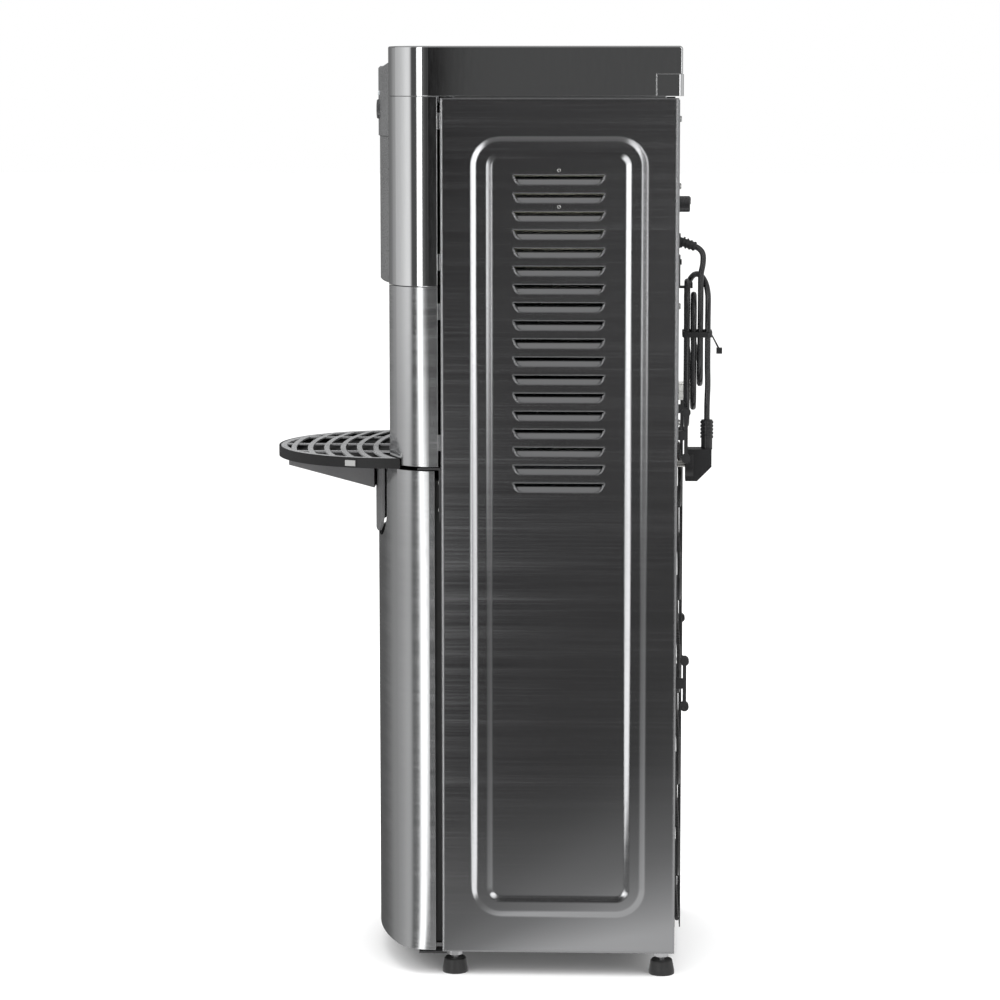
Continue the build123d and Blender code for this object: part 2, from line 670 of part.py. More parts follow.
# ---- Fascias, niche and visor ----
def fascia_rib(z0):
    """A fixing rib that seats a fascia on the side panel's front flange."""
    inner = SIDE_X - RIB_INSET
    return box(inner, SIDE_X - SHEET_T, FASCIA_REAR_Y - 3, SIDE_FRONT_Y, z0, z0 + RIB_LENGTH)


def corner_fascia(z0, z1):
    """The right-hand wrap between two heights, with two fixing ribs."""
    shell = front_shell(z0, z1, FASCIA_WALL, FASCIA_REAR_Y)
    wrap = shell & box(WINDOW_HALF, SIDE_X + 1, FRONT_Y - 1, SIDE_FRONT_Y, z0, z1)
    return wrap + fascia_rib(z0 + RIB_LENGTH) + fascia_rib(z1 - 2 * RIB_LENGTH)


def upper_fascia():
    """Both upper wraps joined by a web that stands behind the visor."""
    top = LID_Z - SEAM
    wrap = corner_fascia(UPPER_Z0 + SEAM, top)
    cheek = box(WINDOW_HALF, WINDOW_HALF + WEB_T, FRONT_Y, WEB_Y + WEB_T, UPPER_Z0 + SEAM, top)
    cheek &= front_block(UPPER_Z0 - 1, top + 1, FASCIA_WALL / 2)
    web = box(-WINDOW_HALF - WEB_T, WINDOW_HALF + WEB_T, WEB_Y, WEB_Y + WEB_T, UPPER_Z0 + SEAM, top)
    web -= box(-60, 60, WEB_Y - 1, WEB_Y + WEB_T + 1, VISOR_Z0 + 30, PANEL_SEAM_Z - 20)
    return web + wrap + mirrored(wrap) + cheek + mirrored(cheek)


def niche_liner():
    """The open-fronted lining of the dispensing niche."""
    half = WINDOW_HALF + NICHE_WALL
    front = bow_y(half, FASCIA_WALL) + SEAM
    z0 = niche_floor_z() - NICHE_WALL
    z1 = UPPER_Z0 - SEAM
    shell = box(-half, half, front, NICHE_REAR_Y + NICHE_WALL, z0, z1)
    room = box(-WINDOW_HALF, WINDOW_HALF, front - 1, NICHE_REAR_Y, z0 + NICHE_WALL, z1 - NICHE_WALL)
    ceiling_y = NOZZLE_Y + NOZZLE_RADIUS + 3
    return shell - room - box(-WINDOW_HALF, WINDOW_HALF, front - 1, ceiling_y, z1 - 2 * NICHE_WALL, z1 + 1)


def niche_floor_z():
    """The top of the niche's floor."""
    return DOOR_Z1 + NICHE_FLOOR_LIFT + NICHE_WALL


def bowed_hood(profile, inner_profile, recess, z0, z1):
    """A hollow hood: a (Y, Z) profile across the window, bowed in front."""
    half = WINDOW_HALF - VISOR_SIDE_GAP
    outer = side_slab(profile, -half, half) & front_block(z0, z1, recess, 0)
    core = side_slab(inner_profile, VISOR_WALL - half, half - VISOR_WALL)
    return outer, core & front_block(z0 - 9, z1 + 9, recess + VISOR_WALL, 0)


def visor():
    """The nose over the niche, below the control panel."""
    z0 = VISOR_Z0
    z1 = PANEL_SEAM_Z - SEAM
    far = FRONT_Y - 20
    profile = [(far, z0), (WEB_Y, z0), (WEB_Y, z1), (far, z1)]
    inner = [(far, z0 + VISOR_WALL), (WEB_Y + 1, z0 + VISOR_WALL), (WEB_Y + 1, z1 + 1), (far, z1 + 1)]
    outer, core = bowed_hood(profile, inner, VISOR_RECESS, z0, z1)
    nose = outer.edges().group_by(Axis.Z)[0].sort_by(Axis.Y)[0]
    outer = chamfer(nose, VISOR_NOSE_RADIUS * 0.16, VISOR_NOSE_RADIUS * 0.16)
    hood = outer - core
    for x in NOZZLE_X:
        hood -= post(x, NOZZLE_Y, z0 - 1, z0 + VISOR_WALL + 1, NOZZLE_RADIUS + RUNNING_GAP)
    return hood


def control_panel():
    """The panel over the visor that holds the buttons and the indicator lenses."""
    z0 = PANEL_SEAM_Z
    shoulder = LID_Z + PANEL_SHOULDER
    top = OVERALL_HEIGHT - PANEL_TOP_DROP
    rear = LID_NOTCH_Y - SEAM
    far = FRONT_Y - 20
    wall = VISOR_WALL
    profile = [(far, z0), (rear, z0), (rear, top), (PANEL_SHOULDER_Y, shoulder), (far, shoulder)]
    inner = [
        (far, z0 - 1),
        (rear + 1, z0 - 1),
        (rear + 1, top - wall),
        (PANEL_SHOULDER_Y, shoulder - wall),
        (far, shoulder - wall),
    ]
    outer, core = bowed_hood(profile, inner, PANEL_RECESS, z0, top)
    brow = [edge for edge in outer.edges() if abs(edge.center().Z - shoulder) < SEAM]
    panel = chamfer(sorted(brow, key=lambda edge: edge.center().Y)[0], PANEL_BROW) - core
    for x in BUTTON_X:
        panel -= rod_y(x, BUTTON_Z, FRONT_Y - 9, rear, BUTTON_RADIUS + BUTTON_CLEAR)
        panel -= rod_y(x, BUTTON_Z + LENS_RISE, FRONT_Y - 9, rear, LENS_RADIUS + RUNNING_GAP)
    boss_y = board_y() - BOARD_T
    for x in (-BUTTON_X[-1] * 1.6, BUTTON_X[-1] * 1.6):
        panel += rod_y(x, BUTTON_Z, bow_y(x, PANEL_RECESS + wall / 2), boss_y, 3.0)
    return panel


def board_y():
    """The rear face of the button board."""
    deepest = bow_y(BUTTON_X[-1] + BUTTON_RADIUS + BUTTON_FLANGE, PANEL_RECESS + VISOR_WALL)
    return deepest + 16.0


def button(x):
    """A push button: cap, retaining flange and stem."""
    near = abs(x) - BUTTON_RADIUS
    front = bow_y(max(near, 0), PANEL_RECESS) - BUTTON_PROUD
    flange_y = bow_y(abs(x) + BUTTON_RADIUS + BUTTON_FLANGE, PANEL_RECESS + VISOR_WALL) + SEAM
    cap = rod_y(x, BUTTON_Z, front, flange_y + 1, BUTTON_RADIUS)
    cap = chamfer(cap.edges().group_by(Axis.Y)[0], 0.8)
    flange = rod_y(x, BUTTON_Z, flange_y, flange_y + BUTTON_FLANGE, BUTTON_RADIUS + BUTTON_FLANGE)
    stem_end = board_y() - BOARD_T - 4.0 - BUTTON_TRAVEL - INSIDE_GAP
    return cap + flange + rod_y(x, BUTTON_Z, flange_y, stem_end, 3.0)


def indicator_lens(x):
    """A small round lens over one button."""
    z = BUTTON_Z + LENS_RISE
    front = bow_y(abs(x) - LENS_RADIUS if x else 0, PANEL_RECESS) - 0.6
    rear = bow_y(abs(x) + LENS_RADIUS, PANEL_RECESS + VISOR_WALL) + 2.0
    return rod_y(x, z, front, rear, LENS_RADIUS)


def control_boards():
    """The button board with its switches, and the power board behind the rear panel."""
    rear = board_y()
    span = BUTTON_X[-1] * 1.6 + 6
    board = box(-span, span, rear - BOARD_T, rear, BUTTON_Z - 12, BUTTON_Z + 14)
    for x in BUTTON_X:
        board += box(x - 3, x + 3, rear - BOARD_T - 4, rear - BOARD_T, BUTTON_Z - 3, BUTTON_Z + 3)
    power_y = SIDE_REAR_Y - 10
    x1 = SIDE_X - POWER_SIDE_GAP
    x0 = x1 - POWER_WIDTH
    z1 = LID_Z - POWER_DROP
    z0 = z1 - POWER_HEIGHT
    power = box(x0, x1, power_y - BOARD_T, power_y, z0, z1)
    power += box(x0 + 8, x0 + 44, power_y - 18, power_y - BOARD_T, z0 + 8, z0 + 40)
    power += rod_y(x1 - 26, z1 - 28, power_y - 16, power_y - BOARD_T, 8)
    for x in (x0 + POWER_POST_INSET, x1 - POWER_POST_INSET):
        for z in (z0 + POWER_POST_INSET, z1 - POWER_POST_INSET):
            power += rod_y(x, z, power_y, SIDE_REAR_Y, POWER_POST_R)
    return [board, power, thermostat()]


def thermostat():
    """The thermostat body behind the rear knob."""
    rear = SIDE_REAR_Y
    body = box(KNOB_X - 14, KNOB_X + 14, rear - 20, rear, KNOB_Z - 12, KNOB_Z + 12)
    return body - rod_y(KNOB_X, KNOB_Z, rear - 12, rear + 1, KNOB_SHAFT_R + RUNNING_GAP)


def nozzle(x):
    """A dispensing nozzle: flanged tube through the visor's floor."""
    seat = VISOR_Z0 + VISOR_WALL
    tube = post(x, NOZZLE_Y, VISOR_Z0 - NOZZLE_DROP, seat + 4, NOZZLE_RADIUS)
    tube += post(x, NOZZLE_Y, seat, seat + 4, NOZZLE_RADIUS + 2)
    tip = tube.edges().group_by(Axis.Z)[0]
    tube = chamfer(tip, 1.5)
    return tube - post(x, NOZZLE_Y, VISOR_Z0 - NOZZLE_DROP - 1, seat + 5, NOZZLE_BORE)


def valve(x):
    """A solenoid valve seated on a nozzle."""
    z0 = VISOR_Z0 + VISOR_WALL + 4
    body = box(x - 13, x + 13, NOZZLE_Y - 7, NOZZLE_Y + 19, z0, z0 + 30)
    return body + post(x, NOZZLE_Y, z0 + 30, z0 + 52, 9)


# ---- Door ----
def socket_sketch(grow=0.0):
    """The (X, Z) outline of the tray bracket's socket, open at the door's head."""
    half = SOCKET_HALF + grow
    foot = DOOR_Z1 - SOCKET_DROP - grow
    return wide_sketch(-half, half, foot, DOOR_Z1 + 60, SOCKET_CORNER)


def socket_block(y0, y1, grow=0.0):
    """The socket's outline carried front to back."""
    return front_slab(socket_sketch(grow), y0, y1)


def door_skin():
    """The bowed outer skin of the door, cut away at the bracket's socket."""
    skin = front_shell(DOOR_Z0, DOOR_Z1, FASCIA_WALL, DOOR_REAR_Y)
    return skin - socket_block(FRONT_Y - 9, DOOR_REAR_Y)


def hinge_boss(z0, z1):
    """The block in the door's corner that turns on a hinge pin."""
    half = HINGE_PIN_R + 3.5
    block = box(HINGE_X - half, SIDE_X, HINGE_Y - half, HINGE_Y + half, z0, z1)
    return block & front_block(z0 - 1, z1 + 1, FASCIA_WALL + INSIDE_GAP, DOOR_REAR_Y)


def door_liner():
    """The inner door: back plate with a bottle recess, end caps and the socket's back."""
    gap = FASCIA_WALL + INSIDE_GAP
    t = DOOR_LINER_T
    liner = front_block(DOOR_Z0, DOOR_Z1, gap, DOOR_REAR_Y)
    recess_z0 = DOOR_Z0 + RECESS_FOOT
    recess_z1 = DOOR_Z1 - RECESS_HEAD
    front = FRONT_Y - 9
    recess = box(-RECESS_HALF, RECESS_HALF, RECESS_Y, DOOR_REAR_Y + 1, recess_z0, recess_z1)
    recess_skin = box(
        -RECESS_HALF - t, RECESS_HALF + t, RECESS_Y - t, DOOR_REAR_Y, recess_z0 - t, recess_z1 + t
    )
    hollow = box(-SIDE_X, SIDE_X, front, DOOR_REAR_Y - t, DOOR_Z0 + t, DOOR_Z1 - t)
    hollow -= recess_skin
    hollow -= socket_block(front - 1, DOOR_REAR_Y, t) - front_block(0, DOOR_Z1 + 1, SOCKET_DEPTH + t, 0)
    reach = HINGE_PIN_REACH + 4
    for z0, z1 in ((DOOR_Z0, DOOR_Z0 + reach), (DOOR_Z1 - reach, DOOR_Z1)):
        hollow -= hinge_boss(z0, z1)
    socket = socket_block(front, DOOR_REAR_Y) - front_block(0, DOOR_Z1 + 1, SOCKET_DEPTH, 0)
    liner = liner - hollow - recess - socket
    bore = HINGE_PIN_R + RUNNING_GAP
    depth = HINGE_PIN_REACH + 1
    liner -= post(HINGE_X, HINGE_Y, DOOR_Z0 - 1, DOOR_Z0 + depth, bore)
    return liner - post(HINGE_X, HINGE_Y, DOOR_Z1 - depth, DOOR_Z1 + 1, bore)


def door_gasket():
    """The magnetic seal round the rear of the door."""
    half = SIDE_X - GASKET_INSET
    z0 = DOOR_Z0 + GASKET_INSET / 2
    z1 = DOOR_Z1 - GASKET_INSET
    outer = wide_sketch(-half, half, z0, z1, 6.0)
    inner = wide_sketch(-half + GASKET_WIDTH, half - GASKET_WIDTH, z0 + GASKET_WIDTH, z1 - GASKET_WIDTH, 2.0)
    return front_slab(outer - inner, DOOR_REAR_Y, SIDE_FRONT_Y - GASKET_GAP)


def hinge_top():
    """The upper hinge: plate over the door, pin down, leg screwed to the side flange."""
    z0 = DOOR_Z1 + 1.2
    left = HINGE_X - 9
    right = SIDE_X - 1
    leg_t = 2.0
    plate = box(left, right, HINGE_Y - 8, SIDE_FRONT_Y, z0, z0 + HINGE_PLATE_T)
    leg = box(right - 7, right, SIDE_FRONT_Y - leg_t, SIDE_FRONT_Y, z0 - 58, z0)
    return plate + leg + post(HINGE_X, HINGE_Y, DOOR_Z1 - HINGE_PIN_REACH, z0, HINGE_PIN_R)


def hinge_bottom():
    """The lower hinge: plate under the door and the side panel, pin up."""
    z1 = PANEL_Z0
    z0 = z1 - HINGE_PLATE_T
    plate = box(HINGE_X - 12, SIDE_X - 1, HINGE_Y - 8, SIDE_FRONT_Y + 5, z0, z1)
    return plate + post(HINGE_X, HINGE_Y, z1, DOOR_Z0 + HINGE_PIN_REACH, HINGE_PIN_R)


# ---- Drip tray ----
def tray_sketch(inset=0.0):
    """The tray's plan: a half disc in front of the door and a tongue into the niche."""
    radius = TRAY_RADIUS - inset
    disc = Pos(0, TRAY_CENTRE_Y) * Circle(radius)
    strip_y = TONGUE_REAR_Y - inset
    strip = Pos(0, (TRAY_CENTRE_Y + strip_y) / 2) * Rectangle(2 * radius, strip_y - TRAY_CENTRE_Y)
    front = disc & (Pos(0, TRAY_CENTRE_Y - radius) * Rectangle(3 * radius, 2 * radius))
    behind = front_plan(-TRAY_CLEAR - inset, 0)
    half = TONGUE_HALF - inset
    tongue = Pos(0, strip_y - radius / 2) * Rectangle(2 * half, radius)
    return (front + strip) - (behind - tongue)


def drip_tray():
    """The tray basin, deeper in front than in its tongue."""
    basin = extrude(Pos(0, 0, TRAY_Z0) * tray_sketch(), TRAY_HEIGHT)
    under = front_block(TRAY_Z0 - 1, TRAY_Z0 + TONGUE_LIFT, -TRAY_CLEAR, 0)
    basin -= under
    seat_z = TRAY_Z1 - GRILLE_T
    room = extrude(Pos(0, 0, TRAY_Z0 + TRAY_WALL) * tray_sketch(2.2 * TRAY_WALL), TRAY_HEIGHT)
    room -= front_block(TRAY_Z0, TRAY_Z0 + TONGUE_LIFT + TRAY_WALL, -TRAY_CLEAR - 2 * TRAY_WALL, 0)
    seat = extrude(Pos(0, 0, seat_z) * tray_sketch(TRAY_WALL), GRILLE_T + 1)
    return basin - room - seat + tray_catch()


def tray_catch():
    """The small pad on the tray's right-hand rim."""
    z0 = TRAY_Z0 + CATCH_FOOT
    z1 = z0 + CATCH_HEIGHT
    ring = post(0, TRAY_CENTRE_Y, z0, z1, TRAY_RADIUS + CATCH_PROUD)
    ring -= post(0, TRAY_CENTRE_Y, z0 - 1, z1 + 1, TRAY_RADIUS - TRAY_WALL)
    y0 = TRAY_CENTRE_Y - CATCH_FORWARD
    return ring & box(0, TRAY_RADIUS + CATCH_PROUD, y0, y0 + CATCH_LENGTH, z0, z1)


def tray_grille():
    """The lift-out grille: rim, straight bars and shallow arcs."""
    plan = tray_sketch(TRAY_WALL + GRILLE_CLEAR)
    openings = tray_sketch(TRAY_WALL + GRILLE_CLEAR + GRILLE_RIM)
    bars = [
        Pos(k * GRILLE_BAR_PITCH, TRAY_CENTRE_Y) * Rectangle(GRILLE_BAR, 3 * TRAY_RADIUS) for k in (-1, 0, 1)
    ]
    tip_y = TRAY_CENTRE_Y - TRAY_RADIUS
    arcs = []
    for k in range(1, 10):
        centre = Pos(0, tip_y + k * GRILLE_ARC_PITCH + GRILLE_ARC_RADIUS)
        ring = Circle(GRILLE_ARC_RADIUS + GRILLE_ARC_BAR / 2) - Circle(GRILLE_ARC_RADIUS - GRILLE_ARC_BAR / 2)
        arcs.append(centre * ring)
    openings = openings - bars - arcs
    return extrude(Pos(0, 0, TRAY_Z1 - GRILLE_T) * (plan - openings), GRILLE_T)


def tray_bracket():
    """The plate in the door's socket with the arm that carries the tray."""
    foot = DOOR_Z1 - PLATE_DROP
    outline = wide_sketch(-PLATE_HALF, PLATE_HALF, foot, DOOR_Z1 + 60, PLATE_CORNER)
    front = FRONT_Y - 2 * ARM_REACH
    band = front_block(foot - 1, DOOR_Z1, -PLATE_PROUD, 0) - front_block(foot - 2, DOOR_Z1 + 1, 0, 0)
    plate = front_slab(outline, front, 0) & band
    ribs = front_block(foot - 1, DOOR_Z1, -PLATE_PROUD / 2, 0) - front_block(foot - 2, DOOR_Z1 + 1, SOCKET_DEPTH, 0)
    for x in (-PLATE_HALF / 2, 0, PLATE_HALF / 2):
        plate += ribs & box(x - 3, x + 3, front, 0, foot + PLATE_CORNER / 2, DOOR_Z1)
    top = TRAY_Z0 - 0.2
    root_y = FRONT_Y - PLATE_PROUD / 2
    tip_y = FRONT_Y - ARM_REACH
    profile = [(root_y, DOOR_Z1 - ARM_ROOT_DROP), (tip_y, DOOR_Z1 - ARM_TIP_DROP), (tip_y, top), (root_y, top)]
    return plate + side_slab(profile, -ARM_HALF, ARM_HALF)


# ---- Feet ----
def foot_places():
    """The four foot centres."""
    return [(sx * FOOT_X, sy * FOOT_Y) for sy in (-1, 1) for sx in (-1, 1)]


def foot(x, y):
    """A rubber foot, flared at the floor, bored for its stud."""
    outline = [
        (0, 0),
        (FOOT_RADIUS, 0),
        (FOOT_RADIUS, FOOT_RIM),
        (FOOT_NECK_RADIUS, FOOT_HEIGHT - FOOT_BEVEL),
        (FOOT_NECK_RADIUS - FOOT_BEVEL, FOOT_HEIGHT),
        (0, FOOT_HEIGHT),
    ]
    body = revolve(Plane.XZ * Polygon(*outline, align=None), Axis.Z)
    bore = post(0, 0, 6, FOOT_HEIGHT + 1, STUD_RADIUS + RUNNING_GAP)
    return Pos(x, y, 0) * (body - bore)


def foot_stud(x, y):
    """A levelling stud with the collar that clamps the base pan."""
    stud = post(x, y, 7.0, STUD_TOP, STUD_RADIUS)
    low = post(x, y, BASE_Z - STUD_NUT_T, BASE_Z, STUD_COLLAR_RADIUS)
    low -= box(SIDE_X - END_FLANGE - 0.1, SIDE_X, y - 20, y + 20, 0, BASE_Z)
    low -= box(-SIDE_X, 0.1 + END_FLANGE - SIDE_X, y - 20, y + 20, 0, BASE_Z)
    high_z = BASE_Z + SHEET_T
    return stud + low + post(x, y, high_z, high_z + STUD_COLLAR_T, STUD_COLLAR_RADIUS)


# ---- Machine space ----
def compressor():
    """The sealed compressor can on its foot plate, with the relay box."""
    z0 = SHELF_Z + SHELF_T + COMPRESSOR_FOOT
    plate_half = GROMMET_SPACING / 2 + GROMMET_R
    x, y = COMPRESSOR_X, COMPRESSOR_Y
    plate = box(x - plate_half, x + plate_half, y - plate_half, y + plate_half, z0, z0 + COMPRESSOR_PLATE_T)
    for gx, gy in grommet_places():
        plate -= post(gx, gy, z0 - 1, z0 + COMPRESSOR_PLATE_T + 1, GROMMET_R - 3.5)
    can = post(x, y, z0 + COMPRESSOR_PLATE_T, z0 + COMPRESSOR_HEIGHT, COMPRESSOR_R)
    can = fillet(can.edges().group_by(Axis.Z)[-1], 30.0)
    can = fillet(can.edges().group_by(Axis.Z)[0], 14.0)
    can += post(x, y, z0 + COMPRESSOR_PLATE_T, z0 + 20, COMPRESSOR_R - 16)
    relay_y = y - COMPRESSOR_R + 2
    relay_z = z0 + 50
    half = RELAY_SIZE / 2
    can += box(x - half, x + half, relay_y - 24, relay_y + 4, relay_z, relay_z + RELAY_SIZE)
    return plate + can


def grommet_places():
    """The four grommet centres under the compressor."""
    half = GROMMET_SPACING / 2
    return [(COMPRESSOR_X + sx * half, COMPRESSOR_Y + sy * half) for sy in (-1, 1) for sx in (-1, 1)]


def grommet(x, y):
    """A rubber grommet that holds the compressor's plate off the shelf."""
    z0 = SHELF_Z + SHELF_T
    plate_z = z0 + COMPRESSOR_FOOT
    low = post(x, y, z0, plate_z - 0.1, GROMMET_R)
    low += post(x, y, plate_z - 1, plate_z + COMPRESSOR_PLATE_T + 1, GROMMET_R - 3.7)
    return low + post(x, y, plate_z + COMPRESSOR_PLATE_T + 0.1, plate_z + COMPRESSOR_PLATE_T + 4, GROMMET_R - 1)


def hot_tank():
    """The hot water tank, domed at both ends."""
    z0 = SHELF_Z + SHELF_T + JACKET_FLOOR
    tank = post(HOT_X, HOT_Y, z0 + INSIDE_GAP, z0 + HOT_HEIGHT, HOT_R)
    return fillet(tank.edges().filter_by(GeomType.CIRCLE), 12.0)


def hot_jacket():
    """The insulating jacket round the hot tank, open at the top."""
    z0 = SHELF_Z + SHELF_T
    outer = post(HOT_X, HOT_Y, z0, z0 + JACKET_FLOOR + HOT_HEIGHT - 14, HOT_R + JACKET_T)
    return outer - post(HOT_X, HOT_Y, z0 + JACKET_FLOOR, z0 + 2 * HOT_HEIGHT, HOT_R + INSIDE_GAP)


def foam_z():
    """Where the cold tank's foam stands."""
    return TANK_SHELF_Z + SHEET_T


def cold_foam():
    """The foam block round the cold tank and its coil, open at the top."""
    z0 = foam_z()
    block = box(-FOAM_HALF_X, FOAM_HALF_X, COLD_Y - FOAM_HALF_Y, COLD_Y + FOAM_HALF_Y, z0, z0 + FOAM_HEIGHT)
    well = COLD_R + 2 * COIL_TUBE_R + 3 * INSIDE_GAP
    return block - post(0, COLD_Y, z0 + FOAM_FLOOR, z0 + FOAM_HEIGHT + 1, well)


def cold_tank():
    """The stainless cold tank with its neck."""
    z0 = foam_z() + FOAM_FLOOR
    tank = post(0, COLD_Y, z0, z0 + COLD_HEIGHT, COLD_R)
    tank = fillet(tank.edges().filter_by(GeomType.CIRCLE), 10.0)
    return tank + post(0, COLD_Y, z0 + COLD_HEIGHT - 1, z0 + COLD_HEIGHT + 12, 20)


def evaporator():
    """The evaporator coil wound round the cold tank."""
    radius = COLD_R + COIL_TUBE_R + INSIDE_GAP
    z0 = foam_z() + FOAM_FLOOR + 30
    path = Pos(0, COLD_Y, z0) * Helix(COIL_PITCH, COIL_PITCH * COIL_TURNS, radius)
    start = path @ 0
    section = Plane(start, z_dir=path % 0) * Circle(COIL_TUBE_R)
    return sweep(section, path=path, is_frenet=True)


def discharge_drop_y():
    """Where the discharge pipe drops through the shelf, behind the bay's back."""
    return BAY_REAR_Y + REAR_SHEET_T + PIPE_R + 3


def first_wire_x():
    """Where the condenser's first upright wire stands."""
    return CONDENSER_X0 + CONDENSER_PITCH / 2 + 2


def discharge_x():
    """Where the discharge pipe runs: between two upright wires, next to the compressor's middle."""
    gap = round((COMPRESSOR_X - first_wire_x()) / CONDENSER_WIRE_PITCH - 0.5)
    return first_wire_x() + (gap + 0.5) * CONDENSER_WIRE_PITCH


def tube_along(points, radii, radius):
    """A round tube along straight runs joined by arcs."""
    path = FilletPolyline(*points, radius=radii)
    section = Plane(path @ 0, z_dir=path % 0) * Circle(radius)
    return sweep(section, path=path)


def discharge_pipe():
    """The pipe from the compressor down to the condenser's top run."""
    z = SHELF_Z + SHELF_T + 60
    drop_y = discharge_drop_y()
    top_run = CONDENSER_Z1 - CONDENSER_TUBE_R
    x = discharge_x()
    points = [
        (x, COMPRESSOR_Y + COMPRESSOR_R + 0.1, z),
        (x, drop_y, z),
        (x, drop_y, top_run),
        (x, CONDENSER_Y - CONDENSER_TUBE_R - 0.1, top_run),
    ]
    return tube_along(points, [9.0, 7.0], PIPE_R)


def pump():
    """The small pump that lifts water from the bottle."""
    z0 = SHELF_Z + SHELF_T
    body = post(PUMP_X, PUMP_Y, z0, z0 + PUMP_HEIGHT, PUMP_R)
    body = fillet(body.edges().group_by(Axis.Z)[-1], 4.0)
    return body + rod_x(PUMP_Y, z0 + 14, PUMP_X, PUMP_X + PUMP_R + 12, 4.0)


def water_hoses():
    """The hose from the probe to the pump, and the riser to the cold tank."""
    z0 = SHELF_Z + SHELF_T + 14
    pump_face = PUMP_X + PUMP_R + 12.2
    low_y = SIDE_FRONT_Y + HOSE_FRONT_GAP
    feed = [
        (PROBE_X, PROBE_Y, probe_top_z() + 0.3),
        (PROBE_X, PROBE_Y, z0 + 10),
        (PROBE_X + 12, PROBE_Y - 60, z0 + 10),
        (PROBE_X + 12, low_y, z0 + 8),
        (pump_face + 46, low_y + 2, z0),
        (pump_face + 24, PUMP_Y, z0),
        (pump_face, PUMP_Y, z0),
    ]
    return tube_along(feed, [10.0, 16.0, 14.0, 18.0, 16.0], HOSE_R)


def probe_top_z():
    """The top of the parked probe's collar."""
    return SHELF_Z - PROBE_HANG + HANGER_T + PROBE_COLLAR_HEIGHT + INSIDE_GAP


def probe():
    """The bottle probe: collar, pick-up tube and its slotted foot."""
    seat = SHELF_Z - PROBE_HANG + HANGER_T + INSIDE_GAP
    collar = post(PROBE_X, PROBE_Y, seat, seat + PROBE_COLLAR_HEIGHT - 6, PROBE_COLLAR_R - 0.5)
    collar += post(PROBE_X, PROBE_Y, seat + PROBE_COLLAR_HEIGHT - 7, seat + PROBE_COLLAR_HEIGHT, 9)
    tube = post(PROBE_X, PROBE_Y, seat - PROBE_LENGTH, seat + 1, PROBE_TUBE_R)
    tube += post(PROBE_X, PROBE_Y, seat - PROBE_LENGTH, seat - PROBE_LENGTH + 14, PROBE_TUBE_R + 2)
    return collar + tube


# ---- Rear of the cabinet ----
def condenser_tube():
    """The serpentine tube on the cabinet's lower back."""
    turn = CONDENSER_PITCH / 2
    left = CONDENSER_X0 + turn
    right = CONDENSER_X1 - turn
    z = CONDENSER_Z1 - CONDENSER_TUBE_R
    edges = []
    for k in range(CONDENSER_RUNS):
        go_right = k % 2 == 0
        start, end = (left, right) if go_right else (right, left)
        edges.append(Line((start, CONDENSER_Y, z), (end, CONDENSER_Y, z)))
        if k == CONDENSER_RUNS - 1:
            break
        bulge = turn if go_right else -turn
        low = (end, CONDENSER_Y, z - CONDENSER_PITCH)
        edges.append(ThreePointArc((end, CONDENSER_Y, z), (end + bulge, CONDENSER_Y, z - turn), low))
        z -= CONDENSER_PITCH
    path = Wire(edges)
    section = Plane(path @ 0, z_dir=path % 0) * Circle(CONDENSER_TUBE_R)
    return sweep(section, path=path)


def condenser_wires():
    """The thin upright wires before and behind the serpentine."""
    top = CONDENSER_Z1 + CONDENSER_WIRE_HEAD
    last_run = CONDENSER_Z1 - 2 * CONDENSER_TUBE_R - (CONDENSER_RUNS - 1) * CONDENSER_PITCH
    foot = last_run - CONDENSER_WIRE_FOOT
    offset = CONDENSER_TUBE_R + CONDENSER_WIRE_R + CONDENSER_WIRE_GAP
    first = first_wire_x()
    last = CONDENSER_X1 - CONDENSER_PITCH / 2 - 2
    count = int((last - first) / CONDENSER_WIRE_PITCH) + 1
    wires = []
    for k in range(count):
        x = first + k * CONDENSER_WIRE_PITCH
        for y in (CONDENSER_Y - offset, CONDENSER_Y + offset):
            wires.append(post(x, y, foot, top, CONDENSER_WIRE_R))
    return wires


def wall_spacer(z):
    """A bone-shaped plastic spacer clipped on the rear flange."""
    half = SPACER_LENGTH / 2
    y0 = REAR_SKIN_Y if z + half > REAR_UPPER_Z0 else SIDE_REAR_Y
    centre = SIDE_REAR_Y + SPACER_OUT
    x0 = SPACER_X - SPACER_WIDTH / 2
    x1 = SPACER_X + SPACER_WIDTH / 2
    bar = box(x0, x1, centre - SPACER_BAR / 2, centre + SPACER_BAR / 2, z - half, z + half)
    for end in (z - half + SPACER_BULB_R, z + half - SPACER_BULB_R):
        bar += rod_x(centre, end, x0, x1, SPACER_BULB_R)
    return bar + box(x0, x1, y0, centre, z - 5, z + 5)


def knob():
    """The thermostat knob with its shaft and pointer ridge."""
    y0 = REAR_SKIN_Y + INSIDE_GAP
    body = rod_y(KNOB_X, KNOB_Z, y0, y0 + KNOB_LENGTH, KNOB_RADIUS)
    body = chamfer(body.edges().group_by(Axis.Y)[-1], 1.0)
    ridge_y = y0 + KNOB_LENGTH
    body += box(KNOB_X - 1, KNOB_X + 1, ridge_y - 1, ridge_y + 0.8, KNOB_Z, KNOB_Z + KNOB_RADIUS - 1.5)
    return body + rod_y(KNOB_X, KNOB_Z, SIDE_REAR_Y - 10, y0 + 1, KNOB_SHAFT_R)


def bezel_half():
    """Half sizes of the switch bezel's body."""
    half_x = SWITCH_SPACING / 2 + ROCKER_WIDTH / 2 + ROCKER_CLEAR + 2
    return half_x, ROCKER_HEIGHT / 2 + ROCKER_CLEAR + 2


